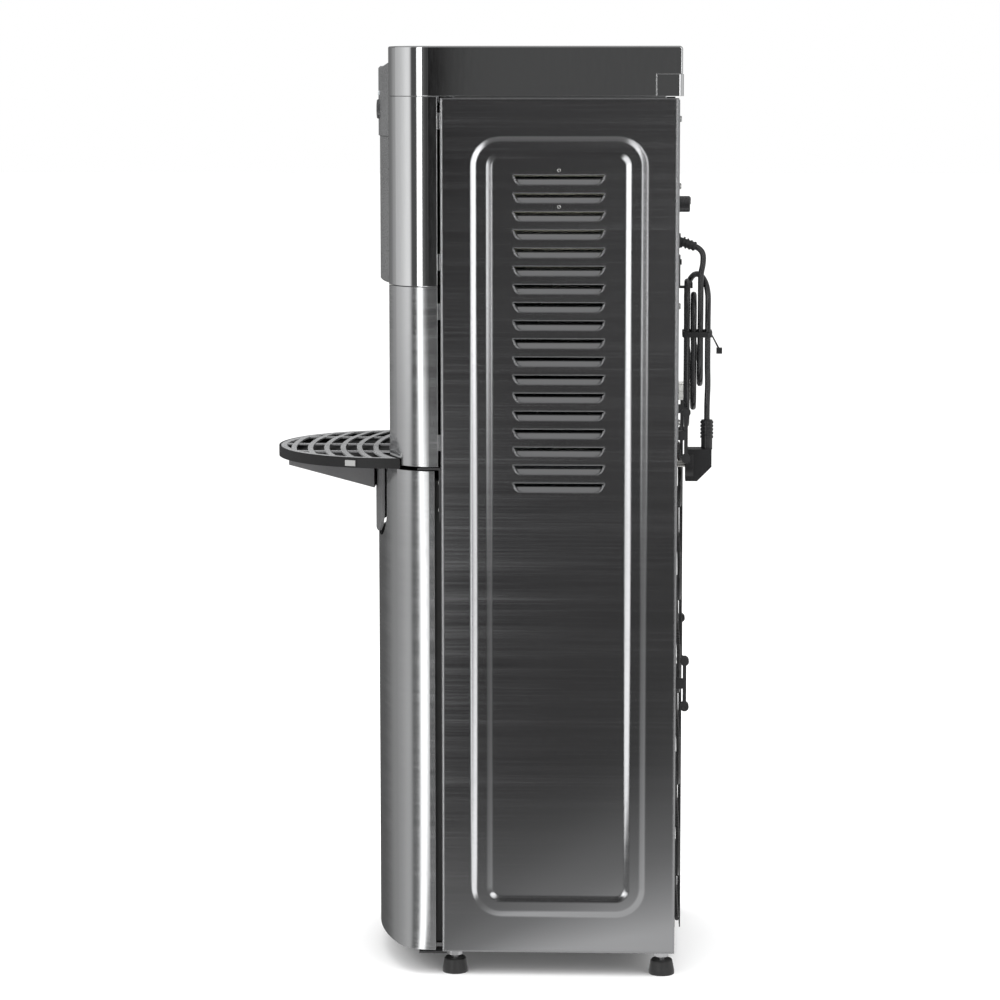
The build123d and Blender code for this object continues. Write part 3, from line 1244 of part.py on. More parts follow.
def switch_bezel():
    """The frame that holds both rocker switches in the rear panel."""
    half_x, half_z = bezel_half()
    depth = ROCKER_DEPTH + 8
    body = wide_sketch(SWITCH_X - half_x, SWITCH_X + half_x, SWITCH_Z - half_z, SWITCH_Z + half_z)
    rim = wide_sketch(SWITCH_X - half_x - 2, SWITCH_X + half_x + 2, SWITCH_Z - half_z - 2, SWITCH_Z + half_z + 2)
    bezel = front_slab(body, SIDE_REAR_Y - depth, REAR_SKIN_Y + BEZEL_PROUD)
    bezel += front_slab(rim, REAR_SKIN_Y, REAR_SKIN_Y + BEZEL_PROUD)
    for x in rocker_places():
        hx = ROCKER_WIDTH / 2 + ROCKER_CLEAR
        hz = ROCKER_HEIGHT / 2 + ROCKER_CLEAR
        well = wide_sketch(x - hx, x + hx, SWITCH_Z - hz, SWITCH_Z + hz)
        bezel -= front_slab(well, REAR_SKIN_Y - ROCKER_DEPTH - 3, REAR_SKIN_Y + BEZEL_PROUD + 1)
        bezel += rod_x(rocker_pivot_y(), SWITCH_Z, x - hx - 1, x - hx + 1.4, 1.5)
        bezel += rod_x(rocker_pivot_y(), SWITCH_Z, x + hx - 1.4, x + hx + 1, 1.5)
    return bezel


def rocker_places():
    """The two rockers' middles, side to side."""
    return (SWITCH_X - SWITCH_SPACING / 2, SWITCH_X + SWITCH_SPACING / 2)


def rocker_pivot_y():
    """The rockers' pivot line."""
    return REAR_SKIN_Y - 2.0


def rocker(x):
    """A rocker tilted to its off side, turning on two stub pins."""
    pivot_y = rocker_pivot_y()
    half = ROCKER_WIDTH / 2
    body = box(x - half, x + half, -7, 4.2, -ROCKER_HEIGHT / 2, ROCKER_HEIGHT / 2)
    body -= rod_x(0, 0, x - half - 1, x - half + 1.4, 1.5 + RUNNING_GAP)
    body -= rod_x(0, 0, x + half - 1.4, x + half + 1, 1.5 + RUNNING_GAP)
    return Pos(0, pivot_y, SWITCH_Z) * Rot(-ROCKER_TILT, 0, 0) * body


def drain_spout():
    """The threaded drain spout through the rear panel."""
    tip = REAR_SKIN_Y + DRAIN_OUT
    spout = rod_y(DRAIN_X, DRAIN_Z, SIDE_REAR_Y - 14, tip, DRAIN_R)
    spout += rod_y(DRAIN_X, DRAIN_Z, REAR_SKIN_Y, REAR_SKIN_Y + 2.0, DRAIN_R + 3)
    spout += rod_y(DRAIN_X, DRAIN_Z, SIDE_REAR_Y - 2.5, SIDE_REAR_Y, DRAIN_R + 3)
    return spout - rod_y(DRAIN_X, DRAIN_Z, SIDE_REAR_Y - 15, tip + 1, DRAIN_R - 2)


def drain_cap():
    """The screw cap on the drain spout."""
    tip = REAR_SKIN_Y + DRAIN_OUT
    cap = rod_y(DRAIN_X, DRAIN_Z, REAR_SKIN_Y + 3, tip + 2.5, DRAIN_CAP_R)
    cap = chamfer(cap.edges().group_by(Axis.Y)[-1], 1.0)
    cap -= rod_y(DRAIN_X, DRAIN_Z, REAR_SKIN_Y, tip + 0.3, DRAIN_R + RUNNING_GAP)
    for k in range(8):
        angle = math.radians(45 * k)
        groove_x = DRAIN_X + DRAIN_CAP_R * math.cos(angle)
        groove_z = DRAIN_Z + DRAIN_CAP_R * math.sin(angle)
        cap -= rod_y(groove_x, groove_z, REAR_SKIN_Y, tip + 4, 1.2)
    return cap


def rear_screws():
    """The pan-head screws along both edges of the upper rear panel."""
    x = SIDE_X - REAR_OVERLAP - 5
    heads = []
    for drop in SCREW_DROPS:
        for side in (-1, 1):
            head = rod_y(side * x, PANEL_Z1 - drop, REAR_SKIN_Y, REAR_SKIN_Y + SCREW_RISE, SCREW_R)
            heads.append(chamfer(head.edges().group_by(Axis.Y)[-1], 0.7))
    return heads


def hinge_screws():
    """The two screws in the upper hinge's leg."""
    x = SIDE_X - 5.5
    y = SIDE_FRONT_Y - 2.0
    return [rod_y(x, DOOR_Z1 - drop, y - 1.3, y, 3.0) for drop in (13.0, 44.0)]


def side_rivets():
    """The two rivets over each side panel's louvres."""
    rivets = []
    for drop in RIVET_DROPS:
        head = rod_x(0, PANEL_Z1 - drop, SIDE_X, SIDE_X + RIVET_RISE, RIVET_RADIUS)
        rivets += [head, mirrored(head)]
    return rivets


# ---- Mains cord ----
def relief_axis():
    """The strain relief's direction: backward and tilted down."""
    tilt = math.radians(RELIEF_TILT)
    return Vector(0, math.cos(tilt), -math.sin(tilt))


def relief_start():
    """Where the strain relief leaves the rear panel."""
    return Vector(CORD_X, REAR_SKIN_Y, RELIEF_Z)


def cord_relief():
    """The ribbed strain relief through the rear panel."""
    axis = relief_axis()
    start = relief_start()
    sleeve_plane = Plane(start - axis * 3, z_dir=axis)
    boot = extrude(sleeve_plane * Circle(RELIEF_R - 1.6), RELIEF_LENGTH + 3)
    for k in range(4):
        rib_plane = Plane(start + axis * (4.0 + 4.4 * k), z_dir=axis)
        boot += extrude(rib_plane * Circle(RELIEF_R - 0.35 * k), 2.0)
    boot -= box(CORD_X - 20, CORD_X + 20, REAR_SKIN_Y - 20, REAR_SKIN_Y, RELIEF_Z - 20, RELIEF_Z + 20)
    boot += rod_y(CORD_X, RELIEF_Z, REAR_SKIN_Y, REAR_SKIN_Y + 2.0, RELIEF_R + 2)
    boot += rod_y(CORD_X, RELIEF_Z, SIDE_REAR_Y - 6, REAR_SKIN_Y + 0.5, CORD_R + 1.1)
    return boot


def round_run(points):
    """The largest arcs that each corner's two runs allow."""
    radii = []
    for before, at, after in zip(points, points[1:], points[2:]):
        a = Vector(*at) - Vector(*before)
        b = Vector(*after) - Vector(*at)
        turn = math.radians(a.get_angle(b))
        radii.append(0.45 * min(a.length, b.length) / math.tan(turn / 2))
    return radii


def cord_tube(name, points):
    """A free stretch of the cord, with its radii and its volume checked against its length."""
    radii = round_run(points)
    path = FilletPolyline(*points, radius=radii)
    section = Plane(path @ 0, z_dir=path % 0) * Circle(CORD_R)
    tube = sweep(section, path=path)
    share = tube.volume / (math.pi * CORD_R ** 2 * path.length)
    print(name, "length", round(path.length, 1), "radii", [round(r, 1) for r in radii], "share", round(share, 4))
    return tube


def lead_points():
    """The cord's route from the strain relief down to the hank."""
    start = relief_start() + relief_axis() * RELIEF_LENGTH
    out = start + relief_axis() * 3.5
    return [
        (CORD_X, start.Y, start.Z),
        (CORD_X, out.Y, out.Z),
        (CORD_X, LEAD_Y, RELIEF_Z - LEAD_DROPS[0]),
        (CORD_X, LEAD_Y, RELIEF_Z - LEAD_DROPS[1]),
        (CORD_X, HANK_LAYER_Y[0], RELIEF_Z - LEAD_DROPS[2]),
        (CORD_X, HANK_LAYER_Y[0], LEAD_END_Z),
    ]


def tail_points():
    """The cord's route from the hank's waist down to the plug."""
    boot_top = PLUG_BOOT_Z + PLUG_BOOT_LENGTH
    return [
        (HANK_X + HANK_WAIST_R, TAIL_Y, TAIL_START_Z),
        (HANK_X + HANK_WAIST_R, TAIL_Y, TAIL_START_Z - TAIL_DROPS[0]),
        (PLUG_X - 1.6, TAIL_Y + 0.5, TAIL_START_Z - TAIL_DROPS[1]),
        (PLUG_X - 0.2, TAIL_Y - 0.3, TAIL_START_Z - TAIL_DROPS[2]),
        (PLUG_X, PLUG_CORD_Y, TAIL_START_Z - TAIL_DROPS[3]),
        (PLUG_X, PLUG_CORD_Y, boot_top),
    ]


def swing(start, end):
    """Two tangent arcs that carry an upright run sideways."""
    a = Vector(*start)
    b = Vector(*end)
    middle = (a + b) * 0.5
    across = Vector(b.X - a.X, b.Y - a.Y, 0)
    drop = b.Z - a.Z
    radius = (drop * drop + across.length ** 2) / (4 * across.length)
    turn = math.asin(abs(drop) / 2 / radius)
    out = across.normalized() * (radius * (1 - math.cos(turn / 2)))
    along = Vector(0, 0, math.copysign(radius * math.sin(turn / 2), drop))
    return [ThreePointArc(a, a + out + along, middle), ThreePointArc(middle, b - out - along, b)]


def half_turn(start, end, up):
    """A half turn between two points at one height, as two quarter turns."""
    a = Vector(*start)
    b = Vector(*end)
    middle = (a + b) * 0.5
    arm = (b - a) * 0.5
    lift = Vector(0, 0, arm.length if up else -arm.length)
    share = math.sqrt(0.5)
    tip = middle + lift
    near = middle - arm * share + lift * share
    far = middle + arm * share + lift * share
    return [ThreePointArc(a, near, tip), ThreePointArc(tip, far, b)]


def waist_run(start, waist_x, end):
    """One run past the waist, where it is drawn in; it changes layer before the waist."""
    up = 1 if end[2] > start[2] else -1
    near = (waist_x, end[1], HANK_WAIST_Z - up * HANK_WAIST_STRAIGHT)
    far = (waist_x, end[1], HANK_WAIST_Z + up * HANK_WAIST_STRAIGHT)
    return swing(start, near) + [Line(near, far)] + swing(far, end)


def hank_edges():
    """The hank's centre line: three loops, each a layer nearer the cabinet, and a crossing back out."""
    right = HANK_X + HANK_TURN_R
    left = HANK_X - HANK_TURN_R
    far_left = left - HANK_OUTER_STEP
    waist_right = HANK_X + HANK_WAIST_R
    waist_left = HANK_X - HANK_WAIST_R
    first, second, third = HANK_LAYER_Y
    foot_1 = HANK_FOOT_Z[0] + HANK_TURN_R
    foot_2 = HANK_FOOT_Z[1] + HANK_TURN_R
    foot_3 = HANK_FOOT_Z[2] + (right - far_left) / 2
    head_1 = HANK_HEAD_Z[0] - HANK_TURN_R
    head_2 = HANK_HEAD_Z[1] - HANK_TURN_R
    cross = HANK_CROSSING_Z
    edges = [Line((right, first, LEAD_END_Z), (right, first, head_1))]
    edges += waist_run((right, first, head_1), waist_right, (right, first, foot_1))
    edges += half_turn((right, first, foot_1), (left, first, foot_1), False)
    edges += waist_run((left, first, foot_1), waist_left, (left, second, head_1))
    edges += half_turn((left, second, head_1), (right, second, head_1), True)
    edges += waist_run((right, second, head_1), waist_right, (right, second, foot_2))
    edges += half_turn((right, second, foot_2), (left, second, foot_2), False)
    edges += waist_run((left, second, foot_2), waist_left, (left, third, head_2))
    edges += half_turn((left, third, head_2), (right, third, head_2), True)
    edges += waist_run((right, third, head_2), waist_right, (right, third, foot_3))
    edges += half_turn((right, third, foot_3), (far_left, third, foot_3), False)
    edges += waist_run((far_left, third, foot_3), waist_left - HANK_OUTER_STEP, (far_left, third, cross))
    edges += half_turn((far_left, third, cross), (right, TAIL_Y, cross), True)
    low = (waist_right, TAIL_Y, HANK_WAIST_Z + HANK_WAIST_STRAIGHT)
    edges += swing((right, TAIL_Y, cross), low)
    edges.append(Line(low, (waist_right, TAIL_Y, TAIL_START_Z)))
    return edges


def least_gap(edges):
    """The smallest gap between stretches of the hank more than six radii apart along it."""
    points = []
    travelled = 0.0
    for edge in edges:
        steps = max(2, int(edge.length / 1.5))
        for k in range(steps):
            spot = edge @ (k / steps)
            points.append((travelled + edge.length * k / steps, spot.X, spot.Y, spot.Z))
        travelled += edge.length
    least = math.inf
    for i, (s0, x0, y0, z0) in enumerate(points):
        for s1, x1, y1, z1 in points[i + 1 :]:
            if s1 - s0 > 6 * CORD_R:
                least = min(least, math.dist((x0, y0, z0), (x1, y1, z1)))
    return least - 2 * CORD_R


def cord_hank():
    """The hanging hank as one unbroken tube."""
    edges = hank_edges()
    path = Wire(edges)
    tube = sweep(Plane(path @ 0, z_dir=path % 0) * Circle(CORD_R), path=path)
    share = tube.volume / (math.pi * CORD_R ** 2 * path.length)
    print("hank length", round(path.length, 1), "share", round(share, 4), "gap", round(least_gap(edges), 2))
    return tube


def cord_tie():
    """The tie round the hank's waist, with its tail and end block."""
    x0 = HANK_X - HANK_WAIST_R - HANK_OUTER_STEP - CORD_R - TIE_CLEAR
    x1 = HANK_X + HANK_WAIST_R + CORD_R + TIE_CLEAR
    y0 = HANK_LAYER_Y[-1] - CORD_R - TIE_CLEAR
    y1 = TAIL_Y + CORD_R + TIE_CLEAR
    z0 = HANK_WAIST_Z - TIE_HEIGHT / 2
    middle = Pos((x0 + x1) / 2, (y0 + y1) / 2, z0)
    outer = RectangleRounded(x1 - x0 + 2 * TIE_T, y1 - y0 + 2 * TIE_T, CORD_R + TIE_T)
    inner = RectangleRounded(x1 - x0, y1 - y0, CORD_R)
    ring = extrude(middle * (outer - inner), TIE_HEIGHT)
    tail_x = x1 - 12
    root_y = y1 + TIE_T / 2
    low_z = HANK_WAIST_Z - TIE_TAIL_DROP
    strap = [
        (root_y, HANK_WAIST_Z + 1),
        (root_y, HANK_WAIST_Z - 2),
        (root_y + TIE_TAIL_OUT - 1.5, low_z),
        (root_y + TIE_TAIL_OUT, low_z + 1.5),
    ]
    tip = box(tail_x - 4, tail_x + 4, root_y + TIE_TAIL_OUT - 3.4, root_y + TIE_TAIL_OUT + 3.0, low_z - 5, low_z + 1.5)
    return ring + side_slab(strap, tail_x - 3, tail_x + 3) + tip


def cord_hook():
    """The hook on the rear panel, under the head of the hank's innermost loop."""
    inner_head = HANK_HEAD_Z[1] - CORD_R
    sag = HANK_TURN_R - CORD_R - math.sqrt((HANK_TURN_R - CORD_R) ** 2 - (HOOK_WIDTH / 2) ** 2)
    arm_top = inner_head - sag - INSIDE_GAP
    x0 = HANK_X - HOOK_WIDTH / 2
    x1 = HANK_X + HOOK_WIDTH / 2
    lip_y = HANK_LAYER_Y[-1] + CORD_R + 2 * INSIDE_GAP
    hook = box(x0, x1, REAR_SKIN_Y, REAR_SKIN_Y + HOOK_T, arm_top - HOOK_T, HOOK_PLATE_TOP)
    hook += box(x0, x1, REAR_SKIN_Y, lip_y + HOOK_T, arm_top - HOOK_T, arm_top)
    hook += box(x0, x1, lip_y, lip_y + HOOK_T, arm_top - HOOK_T, arm_top + 4.0)
    return hook + rod_y(HANK_X, HOOK_PLATE_TOP - 8, REAR_SKIN_Y, REAR_SKIN_Y + HOOK_T + 1.5, 3.2)


def plug_body():
    """The right-angled plug with its ribbed boot."""
    face = PLUG_FACE_Y
    back = face + PLUG_DEPTH
    low = PLUG_Z - PLUG_RADIUS
    high = PLUG_Z + PLUG_RADIUS
    profile = [
        (face, low),
        (back - PLUG_CHAMFER, low),
        (back, low + PLUG_CHAMFER),
        (back, high),
        (face, high),
    ]
    body = side_slab(profile, PLUG_X - PLUG_HALF_WIDTH, PLUG_X + PLUG_HALF_WIDTH)
    body += rod_y(PLUG_X, PLUG_Z, face, face + 9.0, PLUG_RADIUS)
    body += post(PLUG_X, PLUG_CORD_Y, high - 1, PLUG_BOOT_Z + PLUG_BOOT_LENGTH, PLUG_NECK_R)
    pitch = PLUG_BOOT_LENGTH / PLUG_RIBS
    for k in range(PLUG_RIBS):
        z = PLUG_BOOT_Z + k * pitch
        body += post(PLUG_X, PLUG_CORD_Y, z, z + pitch * 0.6, PLUG_BOOT_R)
    return body


def plug_pins():
    """The plug's two pins, pointing at the cabinet."""
    half = PLUG_PIN_SPACING / 2
    pins = []
    for x in (PLUG_X - half, PLUG_X + half):
        pin = rod_y(x, PLUG_Z, PLUG_FACE_Y - PLUG_PIN_LENGTH, PLUG_FACE_Y, PLUG_PIN_R)
        pins.append(chamfer(pin.edges().group_by(Axis.Y)[0], 0.8))
    return pins


# ---- Which piece goes in which file ----
def write(name, *solids):
    """Write one node, made of one or more separate solids."""
    whole = solids[0] if len(solids) == 1 else Compound(children=list(solids))
    export_step(whole, f"parts/{name}.step")


def main():
    """Build every node and write it."""
    os.makedirs("parts", exist_ok=True)
    right = side_panel()
    write("side_panel_right", right)
    write("side_panel_left", mirrored(right))
    write("base_pan", base_pan())
    write("mid_shelf", mid_shelf())
    write("tank_shelf", tank_shelf())
    write("rear_panel_lower", rear_panel_lower())
    write("rear_panel_upper", rear_panel_upper())
    write("top_lid", lid())
    write("lid_corner_blocks", corner_block(), mirrored(corner_block()))
    write("upper_fascia", upper_fascia())
    middle = corner_fascia(MIDDLE_Z0, UPPER_Z0 - SEAM)
    write("middle_fascia_right", middle)
    write("middle_fascia_left", mirrored(middle))
    write("niche_liner", niche_liner())
    write("visor", visor())
    write("control_panel", control_panel())
    write("indicator_lenses", *[indicator_lens(x) for x in BUTTON_X])
    write("control_boards", *control_boards())
    for name, x in zip(("hot", "room", "cold"), BUTTON_X):
        write(f"button_{name}", button(x))
    write("nozzles", *[nozzle(x) for x in NOZZLE_X])
    write("pump_and_valves", pump(), *[valve(x) for x in NOZZLE_X])
    write("door_skin", door_skin())
    write("door_liner", door_liner())
    write("door_gasket", door_gasket())
    write("door_hinges", hinge_top(), hinge_bottom())
    write("tray_bracket", tray_bracket())
    write("drip_tray", drip_tray())
    write("tray_grille", tray_grille())
    foot_names = ("front_left", "front_right", "rear_left", "rear_right")
    for name, (x, y) in zip(foot_names, foot_places()):
        write(f"foot_{name}", foot(x, y))
    write("foot_studs", *[foot_stud(x, y) for x, y in foot_places()])
    write("compressor", compressor())
    write("compressor_grommets", *[grommet(x, y) for x, y in grommet_places()])
    write("hot_tank", hot_tank())
    write("cold_tank", cold_tank())
    write("tank_insulation", cold_foam(), hot_jacket())
    write("refrigerant_circuit", evaporator(), discharge_pipe())
    write("water_hoses", water_hoses())
    write("bottle_probe", probe())
    write("condenser_tube", condenser_tube())
    write("condenser_wires", *condenser_wires())
    spacers = [wall_spacer(z) for z in SPACER_Z]
    write("wall_spacers", *spacers, *[mirrored(s) for s in spacers])
    write("thermostat_knob", knob())
    write("switch_bezel", switch_bezel())
    for name, x in zip(("cooling", "heating"), rocker_places()):
        write(f"rocker_{name}", rocker(x))
    write("drain_spout", drain_spout())
    write("drain_cap", drain_cap())
    write("case_screws", *rear_screws(), *hinge_screws(), *side_rivets())
    write("cord_relief", cord_relief())
    write("cord_hook", cord_hook())
    write("cord_lead", cord_tube("lead", lead_points()))
    write("cord_hank", cord_hank())
    write("cord_tail", cord_tube("tail", tail_points()))
    write("cord_tie", cord_tie())
    write("plug_body", plug_body())
    write("plug_pins", *plug_pins())


main()
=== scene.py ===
"""Bottom-load water cooler: finishes, cord, fasteners and a plain studio.

Metres. +Z is up and the front faces -Y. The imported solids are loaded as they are, and
what is modelled here goes round them.
"""

import math

import bpy
from bpy.props import FloatProperty, FloatVectorProperty, PointerProperty
from bpy.types import Operator, Panel, PropertyGroup
from mathutils import Matrix, Vector


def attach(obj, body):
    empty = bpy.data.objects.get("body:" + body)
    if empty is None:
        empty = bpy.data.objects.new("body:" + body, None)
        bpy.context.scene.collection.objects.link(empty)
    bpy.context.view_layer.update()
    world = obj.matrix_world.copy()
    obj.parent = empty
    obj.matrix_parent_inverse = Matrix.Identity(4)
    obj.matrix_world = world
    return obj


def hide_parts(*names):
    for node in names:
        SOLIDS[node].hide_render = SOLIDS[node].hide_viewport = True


bl_info = {
    "name": "Water cooler dressing",
    "version": (1, 0, 0),
    "blender": (4, 5, 0),
    "location": "View3D > Sidebar > Cooler",
    "description": "Finishes, cord, fasteners and studio for a bottom-load water cooler",
    "category": "Object",
}

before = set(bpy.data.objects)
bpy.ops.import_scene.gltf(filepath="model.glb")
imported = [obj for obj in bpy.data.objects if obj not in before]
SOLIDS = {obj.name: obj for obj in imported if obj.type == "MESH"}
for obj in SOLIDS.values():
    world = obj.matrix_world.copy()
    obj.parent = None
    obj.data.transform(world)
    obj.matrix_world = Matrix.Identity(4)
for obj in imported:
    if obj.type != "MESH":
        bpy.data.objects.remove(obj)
MM = 0.001


# ---- What a user would change ----
def shade(name, words, value):
    """A colour property."""
    limits = {"size": 3, "min": 0, "max": 1}
    return FloatVectorProperty(name=name, description=words, subtype="COLOR", default=value, **limits)


def length(name, words, value):
    """A length property, in metres."""
    return FloatProperty(name=name, description=words, unit="LENGTH", precision=4, min=0, default=value)


def angle(name, words, degrees):
    """An angle property, given in degrees."""
    return FloatProperty(name=name, description=words, subtype="ANGLE", default=math.radians(degrees))


class CoolerFinishes(PropertyGroup):
    """Colours of the cooler's finishes."""

    side_steel: shade("Side panels", "Dark brushed steel of the side panels", (0.37, 0.372, 0.378))
    bright_steel: shade("Upper wrap", "Mirror-bright metal of the lid and upper fascia", (0.63, 0.635, 0.64))
    brushed_steel: shade("Door", "Brushed metal of the door and the middle fascia", (0.56, 0.565, 0.57))
    zinc_sheet: shade("Inner sheets", "Zinc-coated shelves and rear panels", (0.50, 0.51, 0.52))
    black_plastic: shade("Black mouldings", "Black moulded plastic", (0.018, 0.018, 0.019))
    visor_grey: shade("Visor", "Grey of the visor and the control panel", (0.115, 0.116, 0.118))
    grille_silver: shade("Grille", "Silver plastic of the lift-out grille", (0.40, 0.405, 0.41))
    rubber: shade("Rubber", "Black rubber of the feet and the gasket", (0.016, 0.016, 0.016))
    cord: shade("Cord", "Black sheath of the mains cord", (0.014, 0.014, 0.015))
    foam: shade("Foam", "Pale insulating foam", (0.80, 0.77, 0.66))
    pale_plastic: shade("Pale mouldings", "Off-white valves, probe and drain", (0.72, 0.72, 0.69))
    button_grey: shade("Buttons", "Dark grey plastic of the buttons", (0.060, 0.061, 0.063))
    hot_mark: shade("Hot mark", "Red mark on the hot button", (0.55, 0.03, 0.02))
    room_mark: shade("Room mark", "Pale mark on the middle button", (0.70, 0.72, 0.72))
    cold_mark: shade("Cold mark", "Blue mark on the cold button", (0.02, 0.12, 0.50))


class CoolerSizes(PropertyGroup):
    """Sizes of the pieces modelled here."""

    cord_radius: length("Cord radius", "Half the mains cord's thickness", 3.3 * MM)
    screw_radius: length("Screw head radius", "Radius of the pan-head screws on the rear panel", 3.4 * MM)
    screw_rise: length("Screw head height", "Height of the pan-head screws", 2.0 * MM)
    hinge_screw_radius: length("Hinge screw radius", "Radius of the screws on the hinge plate", 3.0 * MM)
    hinge_screw_rise: length("Hinge screw height", "Height of the screws on the hinge plate", 1.3 * MM)
    rivet_radius: length("Rivet radius", "Outer radius of the tubular rivets on the sides", 2.2 * MM)
    mark_radius: length("Button mark radius", "Radius of the coloured mark on a button", 4.6 * MM)
    # The pale pad is a painted highlight, a strip where light glints on the tray's black rim; this is how far
    # it stands off the rim.
    glint_rise: length("Catch pad rise", "How far the pale pad stands off the tray's rim", 0.35 * MM)


class CoolerStudio(PropertyGroup):
    """Where the camera stands."""

    camera_reach: length("Camera reach", "From the cooler's middle to the camera, along X", 3.504)
    camera_height: length("Camera height", "Height of the camera over the floor", 1.0104)
    camera_side: length("Camera offset", "Place of the camera along Y", 0.0809)
    focal: FloatProperty(
        name="Focal length",
        description="Lens, in millimetres on a 36 mm sensor",
        min=10,
        default=108.93,
    )
    pitch: angle("Pitch", "How far the camera looks down", 6.56)
    yaw: angle("Yaw", "How far the camera turns towards the front", 2.121)


def finishes():
    """The scene's colours."""
    return bpy.context.scene.cooler_finishes


def sizes():
    """The scene's sizes."""
    return bpy.context.scene.cooler_sizes


def studio():
    """The scene's camera settings."""
    return bpy.context.scene.cooler_studio


# ---- Shader maths ----
class Flow:
    """A shader socket that takes part in sums."""

    def __init__(self, bench, socket):
        self.bench = bench
        self.socket = socket

    def maths(self, operation, first, second):
        """One Math node."""
        return self.bench.node("ShaderNodeMath", {"operation": operation}, {0: first, 1: second})

    def __add__(self, other):
        return self.maths("ADD", self, other)

    def __radd__(self, other):
        return self.maths("ADD", other, self)

    def __sub__(self, other):
        return self.maths("SUBTRACT", self, other)

    def __rsub__(self, other):
        return self.maths("SUBTRACT", other, self)

    def __mul__(self, other):
        return self.maths("MULTIPLY", self, other)

    def __rmul__(self, other):
        return self.maths("MULTIPLY", other, self)

    def power(self, other):
        return self.maths("POWER", self, other)

    def above(self, other):
        return self.maths("GREATER_THAN", self, other)

    def least(self, other):
        return self.maths("MINIMUM", self, other)

    def heading(self, other):
        """The angle whose tangent is this over the other."""
        return self.maths("ARCTAN2", self, other)


class Bench:
    """The node tree of one material or of the world."""

    def __init__(self, tree):
        self.tree = tree
        tree.nodes.clear()

    def node(self, kind, settings=None, feeds=None, take=0):
        """One node: its settings first, then the values or links of its sockets."""
        made = self.tree.nodes.new(kind)
        for key, value in (settings or {}).items():
            if key == "stops":
                self.set_stops(made.color_ramp, value)
            else:
                setattr(made, key, value)
        for key, value in (feeds or {}).items():
            if isinstance(value, Flow):
                self.tree.links.new(value.socket, made.inputs[key])
            else:
                made.inputs[key].default_value = value
        return Flow(self, made.outputs[take])

    def set_stops(self, ramp, stops):
        """Give a colour ramp its stops, each a place and a grey or a colour."""
        while len(ramp.elements) < len(stops):
            ramp.elements.new(1.0)
        for element, (place, tone) in zip(ramp.elements, stops):
            element.position = place
            element.color = (tone, tone, tone, 1) if isinstance(tone, float) else (*tone, 1)

    def place(self, scale=(1, 1, 1), turn=(0, 0, 0)):
        """Object coordinates, stretched."""
        where = self.node("ShaderNodeTexCoord", take=3)
        return self.node("ShaderNodeMapping", None, {"Vector": where, "Scale": scale, "Rotation": turn})

    def noise(self, scale, stretch=(1, 1, 1), detail=2.0, rough=0.5):
        """Noise from 0 to 1 over the object's own coordinates."""
        where = self.place(stretch)
        feeds = {"Vector": where, "Scale": scale, "Detail": detail, "Roughness": rough}
        return self.node("ShaderNodeTexNoise", None, feeds)

    def blend(self, share, first, second):
        """A colour between two."""
        feeds = {0: share, 6: opaque(first), 7: opaque(second)}
        return self.node("ShaderNodeMix", {"data_type": "RGBA"}, feeds, take=2)

    def stretch(self, value, low, high, to_low, to_high):
        """A value carried from one range to another, and held inside it."""
        feeds = {0: value, 1: low, 2: high, 3: to_low, 4: to_high}
        return self.node("ShaderNodeMapRange", None, feeds)

    def bump(self, height, reach, strength=1.0, under=None):
        """A normal from a height."""
        feeds = {"Height": height, "Distance": reach, "Strength": strength}
        if under:
            feeds["Normal"] = under
        return self.node("ShaderNodeBump", None, feeds)

    def worn_edge(self, reach):
        """A normal that rounds every edge by a small radius."""
        return self.node("ShaderNodeBevel", {"samples": 6}, {"Radius": reach})

    def skin(self, **feeds):
        """The surface shader and the output."""
        named = {key.replace("_", " "): value for key, value in feeds.items()}
        shader = self.node("ShaderNodeBsdfPrincipled", None, named)
        self.node_out(shader)

    def node_out(self, shader):
        """Link a shader to the material's output."""
        made = self.tree.nodes.new("ShaderNodeOutputMaterial")
        self.tree.links.new(shader.socket, made.inputs[0])


def opaque(tone):
    """A colour with its alpha, or a link as it is."""
    return tone if isinstance(tone, Flow) else (*tone[:3], 1.0)


def tinted(tone, factor):
    """A colour made lighter or darker."""
    return tuple(min(1.0, part * factor) for part in tone[:3])


def bench(name):
    """A new material and the bench for its nodes."""
    material = bpy.data.materials.new(name)
    material.use_nodes = True
    return material, Bench(material.node_tree)


# ---- Finishes ----
def brushed(name, tone, grain, rough, contrast=0.12, depth=4e-5, edge=0.6 * MM):
    """Brushed metal; grain is how the fine lines are stretched along X, Y and Z."""
    material, b = bench(name)
    lines = b.noise(1.0, grain, 3.0, 0.6)
    broad = b.noise(1.0, tuple(part * 0.12 for part in grain), 2.0)
    cloud = b.noise(5.0, (1, 1, 1), 2.0)
    mask = lines * 0.6 + broad * 0.4
    base = b.blend(mask, tinted(tone, 1 - contrast), tinted(tone, 1 + contrast))
    base = b.blend(b.stretch(cloud, 0.35, 0.7, 0.0, 0.35), base, tinted(tone, 0.86))
    gloss = b.stretch(mask, 0.3, 0.7, rough - 0.06, rough + 0.08) + (cloud - 0.5) * 0.06
    normal = b.bump(lines, depth, 0.6, b.worn_edge(edge))
    b.skin(Base_Color=base, Metallic=1.0, Roughness=gloss, Normal=normal, Anisotropic=0.45)
    return material


def plated(name, tone, rough):
    """Bright plated metal with a faint waviness and fine wipe marks."""
    material, b = bench(name)
    wave = b.noise(9.0, (1, 1, 0.35), 1.0)
    wipe = b.noise(1.0, (260, 260, 40), 3.0, 0.7)
    base = b.blend(b.stretch(wipe, 0.3, 0.7, 0.0, 1.0), tinted(tone, 0.965), tone)
    gloss = b.stretch(wipe, 0.35, 0.75, rough, rough + 0.035)
    normal = b.bump(wave, 4e-4, 0.06, b.worn_edge(0.9 * MM))
    b.skin(Base_Color=base, Metallic=1.0, Roughness=gloss, Normal=normal)
    return material


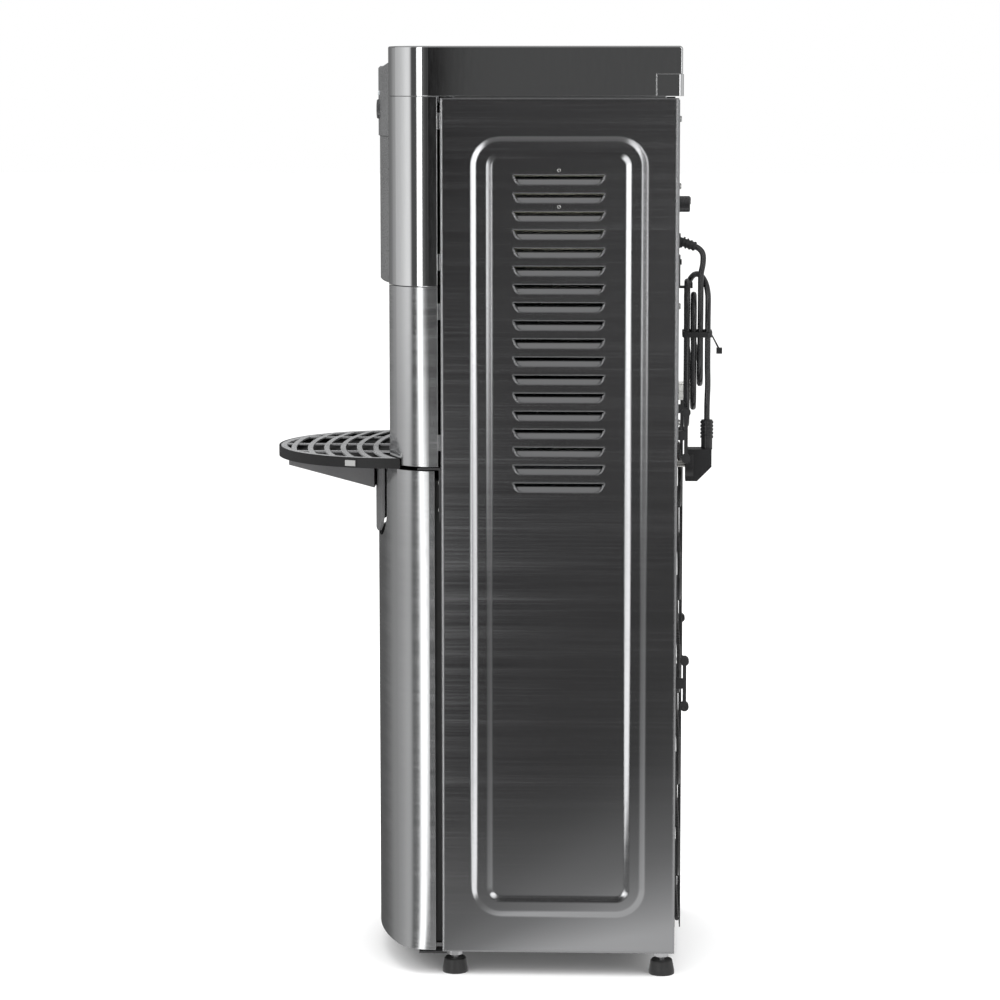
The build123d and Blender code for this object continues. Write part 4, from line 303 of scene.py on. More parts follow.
def sheet_metal(name, tone, rough=0.42):
    """Plain coated sheet with a faint spangle and a few scuffs."""
    material, b = bench(name)
    where = b.place((1, 1, 1))
    spangle = b.node("ShaderNodeTexVoronoi", {"feature": "F1"}, {"Vector": where, "Scale": 90.0}, take=0)
    cloud = b.noise(14.0, (1, 1, 1), 3.0)
    base = b.blend(b.stretch(spangle, 0.0, 0.8, 0.0, 0.5), tone, tinted(tone, 0.88))
    base = b.blend(b.stretch(cloud, 0.4, 0.75, 0.0, 0.4), base, tinted(tone, 0.8))
    gloss = b.stretch(cloud, 0.3, 0.7, rough - 0.07, rough + 0.08)
    b.skin(Base_Color=base, Metallic=0.85, Roughness=gloss, Normal=b.bump(cloud, 1.5e-4, 0.2))
    return material


def moulded(name, tone, rough=0.45, grain=1500.0, depth=3e-5, coat=0.0):
    """Moulded plastic with a fine spark texture."""
    material, b = bench(name)
    spark = b.noise(grain, (1, 1, 1), 2.0)
    cloud = b.noise(20.0, (1, 1, 1), 2.0)
    base = b.blend(b.stretch(cloud, 0.3, 0.7, 0.0, 1.0), tinted(tone, 0.92), tinted(tone, 1.08))
    gloss = b.stretch(spark, 0.35, 0.65, rough - 0.05, rough + 0.07) + (cloud - 0.5) * 0.08
    normal = b.bump(spark, depth, 0.5, b.worn_edge(0.5 * MM))
    b.skin(Base_Color=base, Roughness=gloss, Normal=normal, Coat_Weight=coat)
    return material


def rubbery(name, tone, rough=0.68):
    """Rubber with fine pores and a dusty bloom."""
    material, b = bench(name)
    pores = b.noise(2400.0, (1, 1, 1), 2.0)
    dust = b.noise(60.0, (1, 1, 1), 4.0, 0.6)
    base = b.blend(b.stretch(dust, 0.45, 0.8, 0.0, 0.5), tone, tinted(tone, 2.4))
    gloss = b.stretch(dust, 0.3, 0.7, rough - 0.08, rough + 0.1)
    b.skin(Base_Color=base, Roughness=gloss, Normal=b.bump(pores, 4e-5, 0.5))
    return material


def enamelled(name, tone, rough=0.3):
    """Black enamel on tube and wire, slightly pooled."""
    material, b = bench(name)
    pool = b.noise(240.0, (1, 1, 0.3), 2.0)
    base = b.blend(pool, tinted(tone, 0.7), tinted(tone, 1.5))
    gloss = b.stretch(pool, 0.3, 0.7, rough - 0.08, rough + 0.1)
    b.skin(Base_Color=base, Roughness=gloss, Normal=b.bump(pool, 8e-5, 0.4), Coat_Weight=0.3)
    return material


def foamy(name, tone):
    """Cut insulating foam with open cells."""
    material, b = bench(name)
    where = b.place((1, 1, 1))
    cells = b.node("ShaderNodeTexVoronoi", {"feature": "F1"}, {"Vector": where, "Scale": 420.0}, take=0)
    cloud = b.noise(30.0, (1, 1, 1), 3.0)
    base = b.blend(b.stretch(cells, 0.1, 0.7, 0.0, 1.0), tinted(tone, 0.82), tone)
    base = b.blend(b.stretch(cloud, 0.5, 0.8, 0.0, 0.5), base, tinted(tone, 0.7))
    b.skin(Base_Color=base, Roughness=0.92, Normal=b.bump(cells, 4e-4, 0.6))
    return material


def circuit_board(name):
    """Green board with copper tracks on it."""
    material, b = bench(name)
    where = b.place((1, 1, 1))
    feeds = {"Vector": where, "Scale": 160.0, "Mortar Size": 0.06}
    tracks = b.node("ShaderNodeTexBrick", {"offset": 0.35}, feeds, take=1)
    speck = b.noise(700.0, (1, 1, 1), 2.0).above(0.63)
    base = b.blend(tracks, (0.012, 0.10, 0.045), (0.03, 0.20, 0.09))
    base = b.blend(speck, base, (0.55, 0.53, 0.45))
    b.skin(Base_Color=base, Roughness=b.stretch(tracks, 0.0, 1.0, 0.5, 0.32))
    return material


BUTTON_Z = 980.0
BUTTON_MARKS = (
    ("button_hot", -45.0, "hot_mark"),
    ("button_room", 0.0, "room_mark"),
    ("button_cold", 45.0, "cold_mark"),
)
# The ring's inner edge and the dot, as shares of the mark's radius.
RING_INSIDE, DOT_OUTSIDE = 0.78, 0.34


def marked_button(name, tone, x, mark):
    """Dark moulded plastic with a ring printed round a dot, at (x, BUTTON_Z)."""
    material, b = bench(name)
    where = b.place((1, 1, 1))
    across, up = (b.node("ShaderNodeSeparateXYZ", None, {0: where}, take=k) for k in (0, 2))
    across, up = across - x * MM, up - BUTTON_Z * MM
    reach = (across * across + up * up).power(0.5)
    radius = sizes().mark_radius
    ring = reach.above(radius * RING_INSIDE) * (1.0 - reach.above(radius))
    dot = 1.0 - reach.above(radius * DOT_OUTSIDE)
    spark = b.noise(1200.0, (1, 1, 1), 2.0)
    base = b.blend(spark, tinted(tone, 0.92), tinted(tone, 1.08))
    base = b.blend((ring + dot).least(1.0), base, mark)
    gloss = b.stretch(spark, 0.35, 0.65, 0.24, 0.34)
    b.skin(Base_Color=base, Roughness=gloss, Normal=b.bump(spark, 1e-5, 0.4), Coat_Weight=0.3)
    return material


def clear_lens(name, tone):
    """A pale translucent lens."""
    material, b = bench(name)
    cloud = b.noise(500.0, (1, 1, 1), 1.0)
    base = b.blend(cloud, tinted(tone, 0.9), tone)
    b.skin(Base_Color=base, Roughness=0.12, Coat_Weight=0.6, Normal=b.bump(cloud, 2e-5, 0.3))
    return material


def dress(material, *names):
    """Give CAD nodes a finish."""
    for name in names:
        mesh = SOLIDS[name].data
        mesh.materials.clear()
        mesh.materials.append(material)


# ---- Modelling tools ----
def deselect():
    """Leave nothing selected."""
    if bpy.context.object and bpy.context.object.mode != "OBJECT":
        bpy.ops.object.mode_set(mode="OBJECT")
    bpy.ops.object.select_all(action="DESELECT")


def pick(piece):
    """Make one object the selected and active one."""
    deselect()
    piece.select_set(True)
    bpy.context.view_layer.objects.active = piece


def settle(piece, name, material=None):
    """Name a piece, put its place into its mesh and give it its finish."""
    pick(piece)
    piece.name = name
    piece.data.name = name
    bpy.ops.object.transform_apply(location=True, rotation=True, scale=True)
    if material:
        piece.data.materials.clear()
        piece.data.materials.append(material)
    return piece


def select_faces(piece, test):
    """In edit mode, select only the faces that pass the test."""
    bpy.ops.object.mode_set(mode="OBJECT")
    for face in piece.data.polygons:
        face.select = test(face)
    for edge in piece.data.edges:
        edge.select = False
    for vertex in piece.data.vertices:
        vertex.select = False
    for face in piece.data.polygons:
        if face.select:
            for index in face.vertices:
                piece.data.vertices[index].select = True
    bpy.ops.object.mode_set(mode="EDIT")
    bpy.ops.mesh.select_mode(type="FACE")


def apply_modifier(piece, kind, **settings):
    """Add a modifier and apply it."""
    pick(piece)
    modifier = piece.modifiers.new(kind.title(), kind)
    for key, value in settings.items():
        setattr(modifier, key, value)
    bpy.ops.object.modifier_apply(modifier=modifier.name)


def smooth(piece, angle=32):
    """Smooth shading, kept sharp at edges."""
    pick(piece)
    bpy.ops.object.shade_smooth_by_angle(angle=math.radians(angle))


def copied(piece, name, place):
    """A copy with its own mesh, moved by place."""
    twin = piece.copy()
    twin.data = piece.data.copy()
    bpy.context.scene.collection.objects.link(twin)
    twin.data.transform(Matrix.Translation(place))
    twin.name = name
    twin.data.name = name
    return twin


def joined(pieces, name):
    """Several pieces made one."""
    deselect()
    for piece in pieces:
        piece.select_set(True)
    bpy.context.view_layer.objects.active = pieces[0]
    bpy.ops.object.join()
    whole = bpy.context.object
    whole.name = name
    whole.data.name = name
    return whole


# ---- Camera ----
SENSOR = 36.0
SHIFT_X, SHIFT_Y = -0.02, -0.07
VIEW_END = 60.0


class COOLER_OT_camera(Operator):
    """Stand the camera where the photograph was taken"""

    bl_idname = "cooler.camera"
    bl_label = "Camera"

    def execute(self, context):
        s = studio()
        place = (s.camera_reach, s.camera_side, s.camera_height)
        turn = (math.pi / 2 - s.pitch, 0, math.pi / 2 + s.yaw)
        deselect()
        bpy.ops.object.camera_add(location=place, rotation=turn)
        camera = context.object
        camera.name = "camera"
        camera.data.sensor_width = SENSOR
        camera.data.lens = s.focal
        camera.data.shift_x = SHIFT_X
        camera.data.shift_y = SHIFT_Y
        camera.data.clip_end = VIEW_END
        context.scene.camera = camera
        return {"FINISHED"}


# ---- Mains cord: the route's points are those of the solids ----
CORD_X = 110.0
LEAD_POINTS = (
    (110, 151.99, 827.16),
    (110, 155.28, 825.96),
    (110, 160.6, 820),
    (110, 160.6, 808.5),
    (110, 158, 797),
)
LEAD_END_Z = 786.0
TURN_R = 20.0
WAIST_R = 13.0
OUTER_STEP = 8.0
LAYER_Y = (158.0, 150.6, 143.2)
WAIST_Z = 728.0
WAIST_STRAIGHT = 4.5
FOOT_Z = (671.6, 644.7, 624.8)
HEAD_Z = (772.3, 787.1)
CROSSING_Z = 768.5
TAIL_Y = 166.4
HANK_X = CORD_X - TURN_R
TAIL_POINTS = (
    (103, 166.4, 702),
    (103, 166.4, 690),
    (104.4, 166.9, 672),
    (105.8, 166.1, 653),
    (106, 166, 642),
    (106, 166, 632),
)
TURN_CORNERS = 6


def swing_points(start, end):
    """The two corners of a run that is carried sideways."""
    a = Vector(start)
    b = Vector(end)
    across = Vector((b.x - a.x, b.y - a.y, 0)).length
    drop = b.z - a.z
    radius = (drop * drop + across * across) / (4 * across)
    reach = radius * math.tan(math.asin(abs(drop) / 2 / radius) / 2)
    lift = Vector((0, 0, math.copysign(reach, drop)))
    return [a + lift, b - lift]


def turn_points(start, end, up):
    """The corners of a half turn."""
    a = Vector(start)
    b = Vector(end)
    middle = (a + b) / 2
    arm = (b - a) / 2
    radius = arm.length
    half = math.pi / 2 / TURN_CORNERS
    points = []
    for k in range(TURN_CORNERS):
        swept = half * (2 * k + 1)
        out = arm * (-math.cos(swept) / math.cos(half))
        rise = radius * math.sin(swept) / math.cos(half) * (1 if up else -1)
        points.append(middle + out + Vector((0, 0, rise)))
    return points


def waist_points(start, waist_x, end):
    """The corners of one run past the waist."""
    up = 1 if end[2] > start[2] else -1
    near = (waist_x, end[1], WAIST_Z - up * WAIST_STRAIGHT)
    far = (waist_x, end[1], WAIST_Z + up * WAIST_STRAIGHT)
    return swing_points(start, near) + swing_points(far, end)


def hank_points():
    """The corners of the three loops and of the crossing back out."""
    right = HANK_X + TURN_R
    left = HANK_X - TURN_R
    far_left = left - OUTER_STEP
    waist_right = HANK_X + WAIST_R
    waist_left = HANK_X - WAIST_R
    first, second, third = LAYER_Y
    foot_1 = FOOT_Z[0] + TURN_R
    foot_2 = FOOT_Z[1] + TURN_R
    foot_3 = FOOT_Z[2] + (right - far_left) / 2
    head_1 = HEAD_Z[0] - TURN_R
    head_2 = HEAD_Z[1] - TURN_R
    points = waist_points((right, first, head_1), waist_right, (right, first, foot_1))
    points += turn_points((right, first, foot_1), (left, first, foot_1), False)
    points += waist_points((left, first, foot_1), waist_left, (left, second, head_1))
    points += turn_points((left, second, head_1), (right, second, head_1), True)
    points += waist_points((right, second, head_1), waist_right, (right, second, foot_2))
    points += turn_points((right, second, foot_2), (left, second, foot_2), False)
    points += waist_points((left, second, foot_2), waist_left, (left, third, head_2))
    points += turn_points((left, third, head_2), (right, third, head_2), True)
    points += waist_points((right, third, head_2), waist_right, (right, third, foot_3))
    points += turn_points((right, third, foot_3), (far_left, third, foot_3), False)
    points += waist_points((far_left, third, foot_3), waist_left - OUTER_STEP, (far_left, third, CROSSING_Z))
    points += turn_points((far_left, third, CROSSING_Z), (right, TAIL_Y, CROSSING_Z), True)
    low = (waist_right, TAIL_Y, WAIST_Z + WAIST_STRAIGHT)
    points += swing_points((right, TAIL_Y, CROSSING_Z), low)
    return points


def cord_route():
    """Every point of the cord, from the strain relief to the plug, in metres."""
    points = list(LEAD_POINTS) + [(CORD_X, LAYER_Y[0], LEAD_END_Z)] + hank_points() + list(TAIL_POINTS)
    return [Vector(point) * MM for point in points]


class COOLER_OT_cord(Operator):
    """Hang the mains cord in its hank on the rear panel"""

    bl_idname = "cooler.cord"
    bl_label = "Mains cord"

    def execute(self, context):
        route = cord_route()
        curve = bpy.data.curves.new("mains_cord", "CURVE")
        curve.dimensions = "3D"
        spline = curve.splines.new("NURBS")
        spline.points.add(len(route) - 1)
        for point, place in zip(spline.points, route):
            point.co = (*place, 1.0)
        spline.order_u = 3
        spline.use_endpoint_u = True
        spline.resolution_u = 8
        curve.bevel_depth = sizes().cord_radius
        curve.bevel_resolution = 5
        curve.use_fill_caps = True
        cord = bpy.data.objects.new("mains_cord", curve)
        context.scene.collection.objects.link(cord)
        curve.materials.append(moulded("cord_sheath", finishes().cord, 0.27, 900.0, 1e-5, 0.35))
        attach(cord, "cabinet")
        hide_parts("cord_lead", "cord_hank", "cord_tail")
        return {"FINISHED"}


# ---- Finishes on the solids ----
class COOLER_OT_sheets(Operator):
    """Finish the side panels, the shelves and the rear panels"""

    bl_idname = "cooler.sheets"
    bl_label = "Sheet metal"

    def execute(self, context):
        f = finishes()
        sides = brushed("side_brushed", f.side_steel, (45, 4, 640), 0.125, 0.035, 0.6e-5, 3.0 * MM)
        dress(sides, "side_panel_right", "side_panel_left")
        zinc = sheet_metal("zinc_sheet", f.zinc_sheet)
        dress(zinc, "rear_panel_upper", "rear_panel_lower", "mid_shelf", "tank_shelf")
        dark = moulded("dark_coat", (0.03, 0.03, 0.031), 0.4, 700.0, 6e-5)
        dress(dark, "base_pan", "door_hinges", "compressor")
        return {"FINISHED"}


class COOLER_OT_fascias(Operator):
    """Finish the lid, the wraps and the door"""

    bl_idname = "cooler.fascias"
    bl_label = "Lid, wraps and door"

    def execute(self, context):
        f = finishes()
        bright = plated("bright_wrap", f.bright_steel, 0.045)
        dress(bright, "upper_fascia", "top_lid", "lid_corner_blocks")
        level = brushed("door_brushed", f.brushed_steel, (14, 14, 620), 0.15, 0.07)
        dress(level, "middle_fascia_right", "middle_fascia_left", "door_skin")
        return {"FINISHED"}


class COOLER_OT_mouldings(Operator):
    """Finish the plastic pieces"""

    bl_idname = "cooler.mouldings"
    bl_label = "Mouldings"

    def execute(self, context):
        f = finishes()
        black = moulded("black_moulding", f.black_plastic, 0.42)
        dress(black, "niche_liner", "door_liner", "cord_relief", "cord_hook", "wall_spacers")
        dress(moulded("tray_black", tinted(f.black_plastic, 0.3), 0.55), "drip_tray")
        shiny = moulded("knob_gloss", tinted(f.black_plastic, 1.2), 0.24, 600.0, 1e-5, 0.5)
        dress(shiny, "thermostat_knob", "switch_bezel")
        dress(moulded("visor_grey", f.visor_grey, 0.30, 500.0, 1e-5, 0.1), "visor", "control_panel")
        rocker = moulded("rocker_gloss", f.black_plastic, 0.2, 500.0, 1e-5, 0.5)
        dress(rocker, "rocker_cooling", "rocker_heating")
        dress(moulded("bracket_grey", (0.13, 0.13, 0.132), 0.32), "tray_bracket")
        dress(moulded("grille_silver", f.grille_silver, 0.26, 900.0, 1e-5, 0.3), "tray_grille")
        for name, x, mark in BUTTON_MARKS:
            dress(marked_button(f"mould_{name}", f.button_grey, x, getattr(f, mark)), name)
        pale = moulded("pale_moulding", f.pale_plastic, 0.4)
        dress(pale, "nozzles", "pump_and_valves", "bottle_probe", "drain_spout", "drain_cap")
        dress(clear_lens("lens_clear", (0.72, 0.76, 0.78)), "indicator_lenses")
        plug = moulded("plug_black", f.cord, 0.34, 1100.0, 3e-5, 0.15)
        dress(plug, "plug_body", "cord_tie")
        return {"FINISHED"}


class COOLER_OT_machinery(Operator):
    """Finish the tanks, the tubes, the feet and the small metal"""

    bl_idname = "cooler.machinery"
    bl_label = "Machinery and feet"

    def execute(self, context):
        f = finishes()
        feet = rubbery("foot_rubber", f.rubber, 0.42)
        dress(feet, "foot_front_left", "foot_front_right", "foot_rear_left", "foot_rear_right")
        dress(feet, "door_gasket", "compressor_grommets")
        tank = brushed("tank_steel", (0.58, 0.585, 0.59), (30, 30, 900), 0.28)
        dress(tank, "hot_tank", "cold_tank")
        dress(foamy("tank_foam", f.foam), "tank_insulation")
        dress(enamelled("condenser_enamel", (0.014, 0.014, 0.014)), "condenser_tube", "condenser_wires")
        dress(brushed("copper_pipe", (0.62, 0.27, 0.14), (200, 200, 200), 0.32), "refrigerant_circuit")
        dress(moulded("hose_pale", (0.66, 0.66, 0.62), 0.3, 300.0), "water_hoses")
        dress(circuit_board("board_green"), "control_boards")
        dress(brushed("bare_steel", (0.55, 0.55, 0.56), (500, 500, 60), 0.30), "foot_studs")
        dress(plated("pin_plate", (0.70, 0.69, 0.66), 0.16), "plug_pins")
        return {"FINISHED"}


# ---- Painted highlight: a pale strip that follows the round rim of the tray, where light glints on it ----
GLINT_RADIUS = 140.8
GLINT_CENTRE_Y = -190.0
GLINT_FRONT, GLINT_REAR = 51.2, 39.3
GLINT_Z = (580.9, 587.5)
GLINT_CUTS = 11
GLINT_ROOT = 0.5 * MM
GLINT_ROUND = 0.25 * MM


class COOLER_OT_painted_glint(Operator):
    """Lay a pale strip on the tray's right-hand rim as a painted highlight, where light glints on the black
    rim
    """

    bl_idname = "cooler.catch_pad"
    bl_label = "Tray catch pad"

    def execute(self, context):
        radius = GLINT_RADIUS * MM
        centre_y = GLINT_CENTRE_Y * MM
        first, last = (math.asin(ahead / GLINT_RADIUS) for ahead in (GLINT_FRONT, GLINT_REAR))
        low, high = (z * MM for z in GLINT_Z)
        deselect()
        bpy.ops.mesh.primitive_plane_add(size=1, location=(0, 0, 0))
        thin_piece = context.object
        bpy.ops.object.mode_set(mode="EDIT")
        bpy.ops.mesh.select_all(action="SELECT")
        bpy.ops.mesh.subdivide(number_cuts=GLINT_CUTS)
        bpy.ops.object.mode_set(mode="OBJECT")
        for vertex in thin_piece.data.vertices:
            swept = first + (last - first) * (vertex.co.x + 0.5)
            height = low + (high - low) * (vertex.co.y + 0.5)
            vertex.co = (radius * math.cos(swept), centre_y - radius * math.sin(swept), height)
        apply_modifier(thin_piece, "SOLIDIFY", thickness=sizes().glint_rise + GLINT_ROOT, offset=0.4)
        apply_modifier(thin_piece, "BEVEL", width=GLINT_ROUND, segments=2)
        smooth(thin_piece)
        # The pale grey strip is a painted highlight: the glint of light on the tray's black rim.
        settle(thin_piece, "tray_catch_pad", moulded("pad_pale", (0.34, 0.34, 0.335), 0.35))
        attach(thin_piece, "tray")
        return {"FINISHED"}


# ---- Fasteners ----
REAR_SCREW_Y = 133.2
REAR_SCREW_X = 145.0
REAR_SCREW_Z = (970.0, 896.0, 763.0, 633.0)
HINGE_SCREW_PLACES = ((149.5, -134.0, 565.0), (149.5, -134.0, 534.0))
RIVET_X = 155.12
RIVET_Z = (913.7, 873.4)
RIVET_TUBE_SHARE = 0.3
PAN_STEPS = ((0.20, 0.95), (0.15, 0.86), (0.08, 0.70))
RECESS_LONG, RECESS_WIDE, RECESS_DEEP = 1.25, 0.24, 1.1
FILTER_SIZE = (0.003, 0.104, 0.322)
FILTER_PLACE = (-0.1462, 0, 0.754)
FILTER_ROUND = 0.9 * MM


def pan_head(radius, rise, turn):
    """A pan head with a cross recess, standing on the origin; turn tilts it about X."""
    deselect()
    skirt = rise * (1 - sum(step for step, share in PAN_STEPS))
    bpy.ops.mesh.primitive_cylinder_add(vertices=36, radius=radius, depth=skirt, location=(0, 0, skirt / 2))
    head = bpy.context.object
    pick(head)
    bpy.ops.object.transform_apply(location=True)
    select_faces(head, lambda face: face.normal.z > 0.9)
    height = skirt
    for step, share in PAN_STEPS:
        height += step * rise
        bpy.ops.mesh.extrude_region_move(TRANSFORM_OT_translate={"value": (0, 0, step * rise)})
        bpy.ops.transform.resize(value=(share, share, 1), center_override=(0, 0, height))
    bpy.ops.object.mode_set(mode="OBJECT")
    for along_x, along_y in ((RECESS_LONG, RECESS_WIDE), (RECESS_WIDE, RECESS_LONG)):
        deselect()
        bpy.ops.mesh.primitive_cube_add(size=1, location=(0, 0, rise))
        cutter = bpy.context.object
        cutter.scale = (along_x * radius, along_y * radius, rise * RECESS_DEEP)
        bpy.ops.object.transform_apply(location=True, scale=True)
        apply_modifier(head, "BOOLEAN", operation="DIFFERENCE", object=cutter)
        bpy.data.objects.remove(cutter)
    head.rotation_euler = (turn, 0, 0)
    settle(head, "pan_head")
    return head


def spread(first, places, name, material):
    """Copies of one piece at several places, made one, and ridden on the cabinet."""
    pieces = [copied(first, f"{name}_{k}", Vector(place) * MM) for k, place in enumerate(places)]
    bpy.data.objects.remove(first)
    whole = settle(joined(pieces, name), name, material)
    smooth(whole, 28)
    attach(whole, "cabinet")
    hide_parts("case_screws")


class COOLER_OT_fasteners(Operator):
    """Set the screws of the rear panels and the hinge plate, and the rivets of the sides"""

    bl_idname = "cooler.fasteners"
    bl_label = "Screws and rivets"

    def execute(self, context):
        size = sizes()
        zinc = plated("screw_zinc", (0.52, 0.52, 0.51), 0.22)
        rear = [(side * REAR_SCREW_X, REAR_SCREW_Y, z) for side in (1, -1) for z in REAR_SCREW_Z]
        spread(pan_head(size.screw_radius, size.screw_rise, -math.pi / 2), rear, "rear_screws", zinc)
        hinge = pan_head(size.hinge_screw_radius, size.hinge_screw_rise, math.pi / 2)
        spread(hinge, HINGE_SCREW_PLACES, "hinge_screws", zinc)
        deselect()
        tube = size.rivet_radius * RIVET_TUBE_SHARE
        bpy.ops.mesh.primitive_torus_add(
            major_radius=size.rivet_radius - tube,
            minor_radius=tube,
            major_segments=36,
            minor_segments=12,
            rotation=(0, math.pi / 2, 0),
        )
        ring = settle(context.object, "rivet")
        places = [(side * RIVET_X, 0, z) for side in (1, -1) for z in RIVET_Z]
        spread(ring, places, "side_rivets", zinc)
        return {"FINISHED"}


class COOLER_OT_filter(Operator):
    """Set the dust filter behind the left side's louvres"""

    bl_idname = "cooler.filter"
    bl_label = "Dust filter"

    def execute(self, context):
        deselect()
        bpy.ops.mesh.primitive_cube_add(size=1, location=FILTER_PLACE)
        thin_piece = context.object
        thin_piece.scale = FILTER_SIZE
        settle(thin_piece, "dust_filter", rubbery("filter_foam", (0.012, 0.012, 0.012), 0.85))
        apply_modifier(thin_piece, "BEVEL", width=FILTER_ROUND, segments=3)
        smooth(thin_piece)
        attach(thin_piece, "cabinet")
        return {"FINISHED"}


# ---- Studio ----
SKY_LOW, SKY_HIGH = 0.42, 1.55
OVERHEAD = 0.45
BAND_TOP = 3.4
FINE_FROM, FINE_TO = -2.0, 30.0
# Each band is an angle from +X towards the front, in degrees, and a level of light there.
STUDIO_WIDE = (
    (-180, 0.16), (-140, 0.30), (-100, 0.80), (-60, 0.80), (-40, 0.45), (-27, 0.40), (-25, 2.8), (-15, 2.8),
    (-12, 0.20), (-7, 0.12), (-3, 0.10), (30, 3.4), (36, 3.4), (39, 0.5), (41, 0.10), (54, 0.11), (56, 0.12),
    (60.5, 0.70), (64.5, 1.03), (71, 1.08), (77, 1.06), (86, 0.94), (95, 0.84), (104, 0.755), (116, 0.69),
    (129, 0.62), (134, 0.45), (137, 0.24), (141, 0.19), (165, 0.19), (180, 0.16),
)
STUDIO_FINE = (
    (-2, 0.10), (3.45, 0.10), (3.6, 0.012), (5.2, 0.012), (5.8, 0.12), (7.2, 0.13), (9.8, 0.055), (16, 0.127),
    (20, 0.19), (22.2, 0.30), (23.4, 3.4), (30, 3.4),
)
FLOOR_WIDE = (
    (-180, 0.10), (-150, 0.30), (-90, 0.60), (-55, 0.70), (-40, 0.42), (-28, 0.22), (-20, 0.18), (-16, 0.14),
    (-12, 0.10), (-7, 0.09), (-3, 0.075), (29, 2.3), (32, 1.5), (35, 0.6), (37.5, 0.38), (40, 0.33),
    (45, 0.24), (54, 0.19), (60, 0.27), (64, 0.50), (72, 0.61), (80, 0.61), (90, 0.56), (104, 0.49),
    (120, 0.43), (134, 0.38), (139, 0.31), (143, 0.19), (150, 0.125), (180, 0.09),
)
FLOOR_FINE = (
    (-2, 0.07), (3.5, 0.07), (3.65, 0.34), (4.2, 0.34), (4.6, 0.24), (6, 0.26), (8, 0.5), (10.5, 1.1),
    (12.5, 2.3), (29, 2.3), (30, 1.9),
)
# Where the bands give way to the overhead level, and where the soft light is full.
UPPER_FROM, UPPER_TO = 0.25, 0.7
SKY_TOP = 0.9
# The floor's bands turn about the cabinet's front corner, and become the studio's far out.
CORNER_X, CORNER_Y = 0.14, -0.17
FLOOR_FAR = (3.0, 9.0)
# A patch of floor beside the cooler is brighter where metal mirrors it.
GLOW = 0.22
GLOW_X = (0.3, 1.3)
GLOW_Y = (0.16, 0.2)
GLOW_SLANT = 0.06
GLOW_FALL = 1.6
# Light added to the floor for the camera alone.
LIFT = 0.06
FLOOR_SIDE = 60
FLOOR_TONE = (0.9, 0.9, 0.9, 1)
LAMP_AIM = (0, 0, 0.5)
# Each lamp: name, place, width in metres and power in watts.
LAMPS = (
    ("lamp_front", (0.9, -2.6, 2.0), 1.6, 26),
    ("lamp_rear", (1.2, 2.4, 1.8), 1.4, 10),
    ("lamp_top", (0.0, 0.0, 2.9), 2.0, 36),
)


